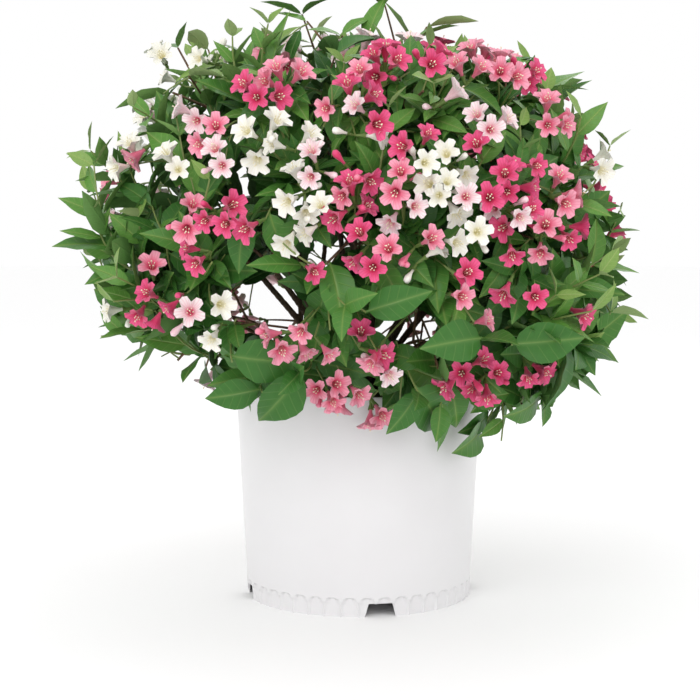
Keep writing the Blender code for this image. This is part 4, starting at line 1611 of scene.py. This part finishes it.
# %% Flowers in clusters
BLOOM_LENGTH = 0.0270
BLOOM_LENGTH_RANGE = (0.86, 1.12)
CLUSTER_SPREAD = (18, 64)
SINGLE_SPREAD = (10, 70)
STALK = 0.007
BLOOM_EDGE = 1.07
BLOOM_SPACING = 0.019
BLOOM_TRIES = 5
BLOOM_TURN_JITTER = 0.4
STALK_RADII = (0.0008, 0.0009)
BUD_CHANCES = (0, 0, 1)
BUD_SIZE = 0.78
HEAD_FLOWERS = (1, 2)
FRONT_LIMIT = 0.03
TINT_MIXES = {
    "rose": ("rose", "rose", "rose", "pink"),
    "pink": ("pink", "pink", "rose", "blush"),
    "blush": ("blush", "blush", "pink", "white"),
    "white": ("white", "white", "blush"),
}
mouths = []


def nearest_mouth(place):
    """How far it is to the mouth of the nearest open flower."""
    return np.linalg.norm(np.array(mouths) - place, axis=1).min() if mouths else math.inf


def add_bloom(root, aim, tint, kept, dice):
    """One flower or bud on its stalk, unless it leaves the outline or touches another flower."""
    start_at = root + aim * STALK
    size = BLOOM_LENGTH * dice.uniform(*BLOOM_LENGTH_RANGE) * (1 if kept is blooms else BUD_SIZE)
    mouth = start_at + aim * size
    if outline_share(mouth)[0] > BLOOM_EDGE or over_pot(mouth[None])[0]:
        return False
    if kept is blooms:
        if nearest_mouth(mouth) < BLOOM_SPACING:
            return False
        mouths.append(mouth)
    add_shoot(np.array((root, start_at)), STALK_RADII)
    roll = dice.uniform(0, math.tau)
    kept.append({"root": start_at, "aim": aim, "roll": roll, "size": size, "tint": tint})
    return True


def add_cluster(root, way, tint, count, dice):
    """Flowers and a bud or two on short stalks from one point, all of one tint."""
    spin = dice.uniform(0, math.tau)
    spread = CLUSTER_SPREAD if count > 1 else SINGLE_SPREAD
    for order in range(count + dice.choice(BUD_CHANCES)):
        kept = blooms if order < count else buds
        for _ in range(BLOOM_TRIES):
            turn = spin + order * math.tau / (count + 1)
            turn += dice.uniform(-BLOOM_TURN_JITTER, BLOOM_TURN_JITTER)
            aim = turned_from(way, turn, math.radians(dice.uniform(*spread)))
            if add_bloom(root, aim, tint, kept, dice):
                break


# %% A leafy shoot to a place
SHOOT_REACH = 0.060
SHOOT_RADII = (0.0013, 0.0009)
SHOOT_POINTS = 8
SHOOT_NODES = (0.35, 0.65, 0.92)
SHOOT_BEHIND = 0.8
TIER_TOPS = ((0.33, "low"), (0.46, "mid"), (0.57, "high"))
FLOWER_LEAF = 0.86
CAMERA_PULL = 0.35


def shoot_line(tip, way, reach):
    """From the twig nearest to the point that lies reach behind the tip."""
    near = np.linalg.norm(twig_points - (tip - way * reach), axis=1).argmin()
    return bend(twig_points[near], unit(unit(twig_ways[near]) + way), tip, SHOOT_POINTS)


def tier_at(height):
    """Leaves are large low down and small at the top, whichever twig they grow on."""
    return step_of(height, TIER_TOPS, "top")


def flower_shoot(site, way, tint, count, dice):
    """A shoot with pairs of leaves that ends in a cluster, its flowers about the site."""
    tip = site - way * (STALK + BLOOM_LENGTH) * SHOOT_BEHIND
    line = shoot_line(tip, way, SHOOT_REACH)
    add_shoot(line, SHOOT_RADII)
    shade = shade_of(tip, dice)
    spin = dice.uniform(0, math.pi)
    for order, share in enumerate(SHOOT_NODES):
        place, along = at_share(line, share)
        add_pair(place, along, spin + order * math.pi / 2, tier_at(place[2]), dice, shade, FLOWER_LEAF)
    add_cluster(tip, way, tint, count, dice)


# %% The side in the photograph
SITE_EDGE = 0.95

dice = random.Random(SEED + 1)
for tint, places in CLUSTERS_SEEN.items():
    for across, down, count in places:
        site = seen_place(across, down, SITE_EDGE)
        way = unit(outward(site) - CAMERA_PULL * sight(across, down))
        flower_shoot(site, way, tint, count, dice)
in_sight = len(blooms)
print(in_sight, "flowers in sight")

# %% The other sides
GOLDEN_TURN = 137.50776
SPIRAL_CLUSTERS = 185
SIGHT_LIMIT = -0.06
SPIRAL_LOW, SPIRAL_HIGH = -0.55, 0.99
SPIRAL_SITES = (0.88, 0.98)
SPIRAL_SIZES = (1, 2, 2, 3)
SITE_SWAY = 0.3
TOP_RING, TOP_SHARE = 0.72, 0.5
TOP_CLUSTERS = 60
TOP_SITE = 0.92
TOP_BARE = 0.050
TOP_FRONT = -0.12


def spiral(count, low, high):
    """Directions spread evenly over the crown, as seeds are on a sunflower."""
    for index in range(count):
        lift = math.degrees(math.asin(low + (high - low) * (index + 0.5) / count))
        yield heading(index * GOLDEN_TURN, lift)


def out_along(way, share):
    """The place that lies this share of the way out to where the crown ends."""
    return CROWN_CENTRE + way * share * fullness(way) / outline_share(CROWN_CENTRE + way)[0]


def free(site, hidden=True):
    """True for a place off the pot and, if hidden, on a side that the camera doesn't see."""
    seen = hidden and outward(site)[1] < SIGHT_LIMIT
    return not seen and not over_pot(site[None])[0]


def flower_there(site, dice):
    """A flowering shoot in a tint of the nearest mass, turned a little from straight out."""
    mass = min(masses, key=lambda mass: np.linalg.norm(mass["tip"] - site))
    tint = dice.choice(TINT_MIXES[mass["tint"]])
    way = unit(outward(site) + SITE_SWAY * heading(dice.uniform(0, 360)))
    flower_shoot(site, way, tint, dice.choice(SPIRAL_SIZES), dice)


for way in spiral(SPIRAL_CLUSTERS, SPIRAL_LOW, SPIRAL_HIGH):
    site = out_along(way, dice.uniform(*SPIRAL_SITES))
    sparse = way[2] > TOP_RING and dice.random() > TOP_SHARE
    if not sparse and free(site):
        flower_there(site, dice)
for one in grown:
    for head in one["heads"]:
        if head["flowers"] and head["end"][1] > FRONT_LIMIT:
            way = unit(head["aim"] + SITE_SWAY * outward(head["end"]))
            tint = dice.choice(TINT_MIXES[one["mass"]["tint"]])
            add_cluster(head["end"], way, tint, dice.randint(*HEAD_FLOWERS), dice)
top_dice = random.Random(SEED + 2)
for way in spiral(TOP_CLUSTERS, TOP_RING, 1.0):
    site = out_along(way, TOP_SITE)
    if site[1] > TOP_FRONT and nearest_mouth(site) > TOP_BARE:
        flower_there(site, top_dice)
for order, bloom in enumerate(blooms):
    bloom["seen"] = order < in_sight
print(len(blooms), "flowers,", len(buds), "buds")

# %% [markdown]
# ## Leading shoots
#
# Young erect shoots stand out of the crown all round, with light narrow leaves that get shorter to
# the tip. Some at the front end where the photograph shows a tip against the white. Between them,
# short shoots open their last pairs of leaves to a flat rosette, the broadest low down.

# %% Grow them
LEADER_REACH = 0.095
LEADER_RADII = (0.0016, 0.0009)
LEADER_EDGE = 1.17
LOW_LEADER_EDGE = 1.02
LOW_LEADER = 0.30
TIP_LEAF = 0.020
LEADER_STEP = 0.021
LEADER_LEAVES = (0.58, 1.14)
LEADER_SHADES = ("young", "fresh", "fresh", "warm")
LEADER_WIDTH = 0.86
LEADER_ARCH = (0.05, 0.40)
LEADER_LEAN = 0.9
LEADER_RISE = 0.9
ERECT_FROM = 0.33
LEADER_TOP = 0.655
LEADER_LEAST = 5
LEADER_SITE = 1.04
YOUNG_SHOOTS = {"count": 84, "low": -0.50, "high": 0.97, "sites": (0.93, 1.02), "hidden": False}
LEADERS_HIDDEN = {"count": 46, "low": -0.35, "high": 0.97, "sites": (0.97, 1.06), "hidden": True}


def leader(tip, dice):
    """A shoot that ends near the tip, with pairs of leaves that get shorter towards it."""
    lift = LEADER_RISE if tip[2] > ERECT_FROM else 0.0
    way = unit(outward(tip) * LEADER_LEAN + np.array((0, 0, lift)))
    tip = tip - way * TIP_LEAF
    tip[2] = min(tip[2], LEADER_TOP)
    edge = LEADER_EDGE if tip[2] > LOW_LEADER else LOW_LEADER_EDGE
    line = shoot_line(tip, way, LEADER_REACH)
    add_shoot(line, LEADER_RADII, least=LEADER_LEAST)
    length = np.linalg.norm(np.diff(line, axis=0), axis=1).sum()
    pairs = max(3, int(length / LEADER_STEP))
    spin = dice.uniform(0, math.pi)
    least, most = LEADER_LEAVES
    for order in range(pairs):
        place, along = at_share(line, 1 - order / pairs)
        tier = tier_at(place[2])
        shade = LEADER_SHADES[min(order, 3)]
        size = least + (most - least) * min(1, order / 4)
        before = len(leaves)
        turn = spin + order * math.pi / 2
        add_pair(place, along, turn, tier, dice, shade, size, edge=edge, arch=LEADER_ARCH)
        for leaf in leaves[before:]:
            leaf["width"] *= LEADER_WIDTH / BLADE_WIDTH[tier] if order < 4 else 1


for across, down in LEADERS_SEEN:
    leader(seen_place(across, down, LEADER_SITE), dice)
for plan in (YOUNG_SHOOTS, LEADERS_HIDDEN):
    for way in spiral(plan["count"], plan["low"], plan["high"]):
        site = out_along(way, dice.uniform(*plan["sites"]))
        if free(site, plan["hidden"]):
            leader(site, dice)
print(len(shoots), "shoots and", len(leaves), "leaves so far")

# %% Open the rosettes
ROSETTES_SEEN = (
    (262, 392), (232, 362), (300, 372), (345, 305), (366, 312), (418, 392), (400, 402), (512, 345),
    (482, 338), (572, 345), (540, 395), (480, 428), (330, 330), (440, 405), (212, 262), (283, 243),
)
ROSETTE_LENGTH = 1.12
ROSETTE_WIDTH = 1.12
ROSETTE_SIZES = (0.9, 1.08)
ROSETTE_RINGS = ((0.90, 74, 1.0), (1.0, 52, 0.92), (1.0, 30, 0.62))
ROSETTE_SPREAD_JITTER = (-8, 8)
ROSETTE_RADII = (0.0014, 0.0009)
ROSETTE_SHADES = ("mid", "mid", "mid", "warm", "deep")
ROSETTE_EDGE = 1.08
ROSETTE_ARCH = (0.25, 0.75)
ROSETTE_SITE_SEEN = 0.94
ROSETTE_SITE = 0.93
ROSETTE_PULL = 0.5
ROSETTES_HIDDEN = 44


def rosette(tip, way, dice):
    """A short shoot whose last pairs of broad leaves open flat to the light."""
    line = shoot_line(tip, way, SHOOT_REACH)
    add_shoot(line, ROSETTE_RADII)
    spin = dice.uniform(0, math.pi)
    tier = tier_at(tip[2])
    shade = dice.choice(ROSETTE_SHADES)
    for order, (share, spread, size) in enumerate(ROSETTE_RINGS):
        place, along = at_share(line, share)
        for side in (0, math.pi):
            opening = math.radians(spread + dice.uniform(*ROSETTE_SPREAD_JITTER))
            turned = turned_from(unit(along + way), spin + side + order * math.pi / 2, opening)
            length = BLADE_LENGTH[tier] * ROSETTE_LENGTH * size * dice.uniform(*ROSETTE_SIZES)
            width = BLADE_WIDTH[tier] * ROSETTE_WIDTH
            add_blade(place, turned, length, width, dice, shade, edge=ROSETTE_EDGE, arch=ROSETTE_ARCH)


for across, down in ROSETTES_SEEN:
    tip = seen_place(across, down, ROSETTE_SITE_SEEN)
    way = outward(tip) - ROSETTE_PULL * sight(across, down) + np.array((0, 0, 0.1))
    rosette(tip, unit(way), dice)
for way in spiral(ROSETTES_HIDDEN, -0.60, 0.30):
    site = out_along(way, ROSETTE_SITE)
    if free(site):
        rosette(site, outward(site), dice)
print(len(shoots), "shoots and", len(leaves), "leaves in all")

# %% [markdown]
# ## Clear sight of the flowers
#
# Insects find the flowers because no leaf hangs over them. A leaf is left out where it would pass
# through a flower, hang in front of one, or close a gap through which the photograph shows the sky.
# Each gap is an ellipse in the frame: its middle, half width and half height in pixels. Shoots that
# lose their leaves go too, and twigs end where they carry nothing more.

# %% Leave out the leaves in the way
CLEAR_RADIUS = 0.0095
CLEAR_LENGTH = 0.050
SEEN_LENGTH = 0.120
FUNNEL_RADIUS = 0.0150
FUNNEL_SHARE = (0.25, 1.1)
THROAT_SHARE = 0.6
RIB_SPOTS = ((0.15, 0), (0.32, 0), (0.5, 0), (0.68, 0), (0.85, 0), (1.0, 0))
EDGE_SPOTS = ((0.5, 0.19), (0.5, -0.19), (0.7, 0.133), (0.7, -0.133))
CLOTHED_WITHIN = 0.012
WINDOWS_SEEN = (
    (262, 308, 42, 24), (408, 331, 30, 15), (323, 260, 14, 11), (146, 174, 9, 12), (168, 192, 10, 8),
    (213, 114, 7, 5), (246, 191, 8, 5), (224, 203, 7, 5), (298, 205, 10, 6), (180, 101, 7, 5),
    (125, 120, 9, 7),
)


def leaf_places():
    """Spots along the midrib of every leaf and on both its edges, (leaves, spots, 3)."""
    keys = ("root", "length", "arch", "width", "frame")
    root, length, bow, width, frames = (np.array([leaf[key] for leaf in leaves]) for key in keys)
    spots = []
    for share, side in RIB_SPOTS + EDGE_SPOTS:
        local = np.stack([side * width, bow * share**2 / 2, share - bow**2 * share**3 / 6], 1)
        spots.append(root + length[:, None] * np.einsum("nk,nkj->nj", local, frames))
    return np.stack(spots, 1)


def beam(spots, start_at, way, reach, radius):
    """For each leaf, whether one of its spots lies in a narrow beam."""
    away = spots - start_at
    ahead = away @ way
    aside = (away**2).sum(-1) - ahead**2
    return ((ahead > reach[0]) & (ahead < reach[1]) & (aside < radius**2)).any(axis=1)


def in_window(spots):
    """For each leaf, whether it would close a gap through which the photograph shows the sky."""
    rays = spots - np.array(CAMERA_PLACE)
    right, up, back = np.array(camera.rotation_euler.to_matrix()).T
    focal = FRAME_PIXELS * LENS / SENSOR
    x = FRAME_PIXELS / 2 - focal * (rays @ right) / (rays @ back)
    y = FRAME_PIXELS / 2 + focal * (rays @ up) / (rays @ back)
    hit = np.zeros(len(spots), bool)
    for middle, down, half_width, half_height in WINDOWS_SEEN:
        hit |= (((x - middle) / half_width) ** 2 + ((y - down) / half_height) ** 2 < 1).any(axis=1)
    return hit


def in_the_way():
    """For each leaf, whether it closes a window, passes through a flower or hangs in front of one."""
    spots = leaf_places()
    hit = in_window(spots)
    for bloom in blooms:
        root, aim, size = bloom["root"], bloom["aim"], bloom["size"]
        throat = root + aim * size * THROAT_SHARE
        hit |= beam(spots, root, aim, np.array(FUNNEL_SHARE) * size, FUNNEL_RADIUS)
        hit |= beam(spots, throat, aim, (0, CLEAR_LENGTH), CLEAR_RADIUS)
        if bloom["seen"]:
            to_camera = unit(np.array(CAMERA_PLACE) - throat)
            hit |= beam(spots, throat, to_camera, (0, SEEN_LENGTH), CLEAR_RADIUS)
    return hit


def clothed(line):
    """A twig without the end that has lost all its leaves."""
    near = np.linalg.norm(line[:, None] - carried, axis=2).min(axis=1) < CLOTHED_WITHIN
    near[:2] = True
    return line[: np.flatnonzero(near)[-1] + 1]


kept = [leaf for leaf, hit in zip(leaves, in_the_way()) if not hit]
counts = collections.Counter(leaf["shoot"] for leaf in kept)
bare = {index for index, least in least_leaves.items() if counts[index] < least}
leaves = [leaf for leaf in kept if leaf["shoot"] not in bare]
shoots = [shoot for index, shoot in enumerate(shoots) if index not in bare]
carried = [one["root"] for one in leaves + blooms] + [line[0] for line, _ in shoots + twigs]
carried = np.array(carried)
twigs = [(clothed(line), radii) for line, radii in twigs]
print(len(leaves), "leaves,", len(shoots), "shoots,", len(bare), "left out")

# %% [markdown]
# ## Stamp the leaves and flowers
#
# All leaves of one shade are one mesh, and so are all flowers of one tint. Each copy is bent on the
# way: the blade folds up along its midrib, arches down along its length, twists, and waves a little
# at its edge, so that no two leaves are alike.

# %% Bend and stamp the leaves
EDGE_WAVE = 0.064
WAVE_TURN = 16
LEAF_SHARPNESS = 70


def bent_leaves(wanted):
    """The corners of every wanted leaf, in metres."""
    across, normal, along = (leaf_pattern.corners[None, :, axis] for axis in range(3))
    width, fold, arch, twist, start_at, length = (
        np.array([leaf[key] for leaf in wanted])[:, None]
        for key in ("width", "fold", "arch", "twist", "wave", "length")
    )
    side = across * width
    wave = EDGE_WAVE * np.sin(along * WAVE_TURN + start_at)
    up = -normal + (fold + wave) * np.abs(side)
    turn = twist * along
    side, up = side * np.cos(turn) - up * np.sin(turn), side * np.sin(turn) + up * np.cos(turn)
    lean = arch * along
    forward = along - arch**2 * along**3 / 6 + up * np.sin(lean)
    lift = -arch * along**2 / 2 + up * np.cos(lean)
    local = np.stack([side, -lift, forward], axis=2) * length[..., None]
    frames, roots = (np.array([leaf[key] for leaf in wanted]) for key in ("frame", "root"))
    return np.einsum("nvk,nkj->nvj", local, frames) + roots[:, None]


mass_nodes = ["foliage_" + mass["name"] for mass in masses]
for shade in LEAF_SHADES:
    wanted = [leaf for leaf in leaves if leaf["shade"] == shade]
    piece = leaf_pattern.stamp("leaves_" + shade, bent_leaves(wanted), smooth_angle=LEAF_SHARPNESS)
    dress(piece, "leaf_" + shade, "foliage", *mass_nodes)
    print(piece.name, len(wanted), "leaves")


# %% Stamp the flowers
PETAL_SHARPNESS = 75


def bloom_frame(record):
    """Across, normal and along, for a shape that is turned about its own axis."""
    side = turned_from(record["aim"], record["roll"], math.pi / 2)
    return (side, np.cross(record["aim"], side), record["aim"])


def stamp_blooms(name, pattern, records, finish, slot):
    """One piece with a copy of the pattern on every record."""
    frames = [bloom_frame(record) for record in records]
    sizes = [(record["size"],) * 3 for record in records]
    roots = [record["root"] for record in records]
    piece = pattern.stamp(name, set_on(pattern, frames, roots, sizes), smooth_angle=PETAL_SHARPNESS)
    return dress(piece, finish, slot)


for tint in PETAL_TINTS:
    open_ones = [record for record in blooms if record["tint"] == tint]
    closed_ones = [record for record in buds if record["tint"] == tint]
    stamp_blooms("flowers_" + tint, flower_pattern, open_ones, "petal_" + tint, "petals_" + tint)
    stamp_blooms("buds_" + tint, bud_pattern, closed_ones, "petal_" + tint, "petals_" + tint)
    print(tint, len(open_ones), "flowers,", len(closed_ones), "buds")
stamp_blooms("calyxes", calyx_pattern, blooms + buds, "calyx", "shoots")

# %% Stamens
STAMENS = 5
STAMEN_LEAN = 7
STAMEN_SIZE = 0.90
STIGMA_SIZE = 1.08


def stamen_records():
    """Five stamens lean out a little from the axis of each flower, round a longer stigma."""
    records = []
    for bloom in blooms:
        for order in range(STAMENS):
            spin = bloom["roll"] + order * math.tau / STAMENS
            aim = turned_from(bloom["aim"], spin, math.radians(STAMEN_LEAN))
            records.append(bloom | {"aim": aim, "size": bloom["size"] * STAMEN_SIZE})
        records.append(bloom | {"size": bloom["size"] * STIGMA_SIZE})
    return records


stamp_blooms("stamens", stamen_pattern, stamen_records(), "stamen", "petals_white")

# %% Twigs and shoots
TWIG_SIDES = 6
SHOOT_SIDES = 5

twig_piece = tubes("twigs", twigs, TWIG_SIDES)
shoot_piece = tubes("shoots", shoots, SHOOT_SIDES)
dress(twig_piece, "twig", "bark", *mass_nodes)
dress(shoot_piece, "shoot", "shoots")
print(len(twigs), "twigs and", len(shoots), "shoots")

# %% [markdown]
# ## Floor
#
# The floor is a wide pale disc that only receives the soft shadow.

# %% Floor
FLOOR_RADIUS = 9
FLOOR_WHITE = (0.985, 0.985, 0.985)

floor = start("circle", vertices=96, radius=FLOOR_RADIUS, fill_type="NGON")
leave(floor, "floor")
floor.data.materials.append(plain_finish("pale_floor", FLOOR_WHITE, roughness=0.9))
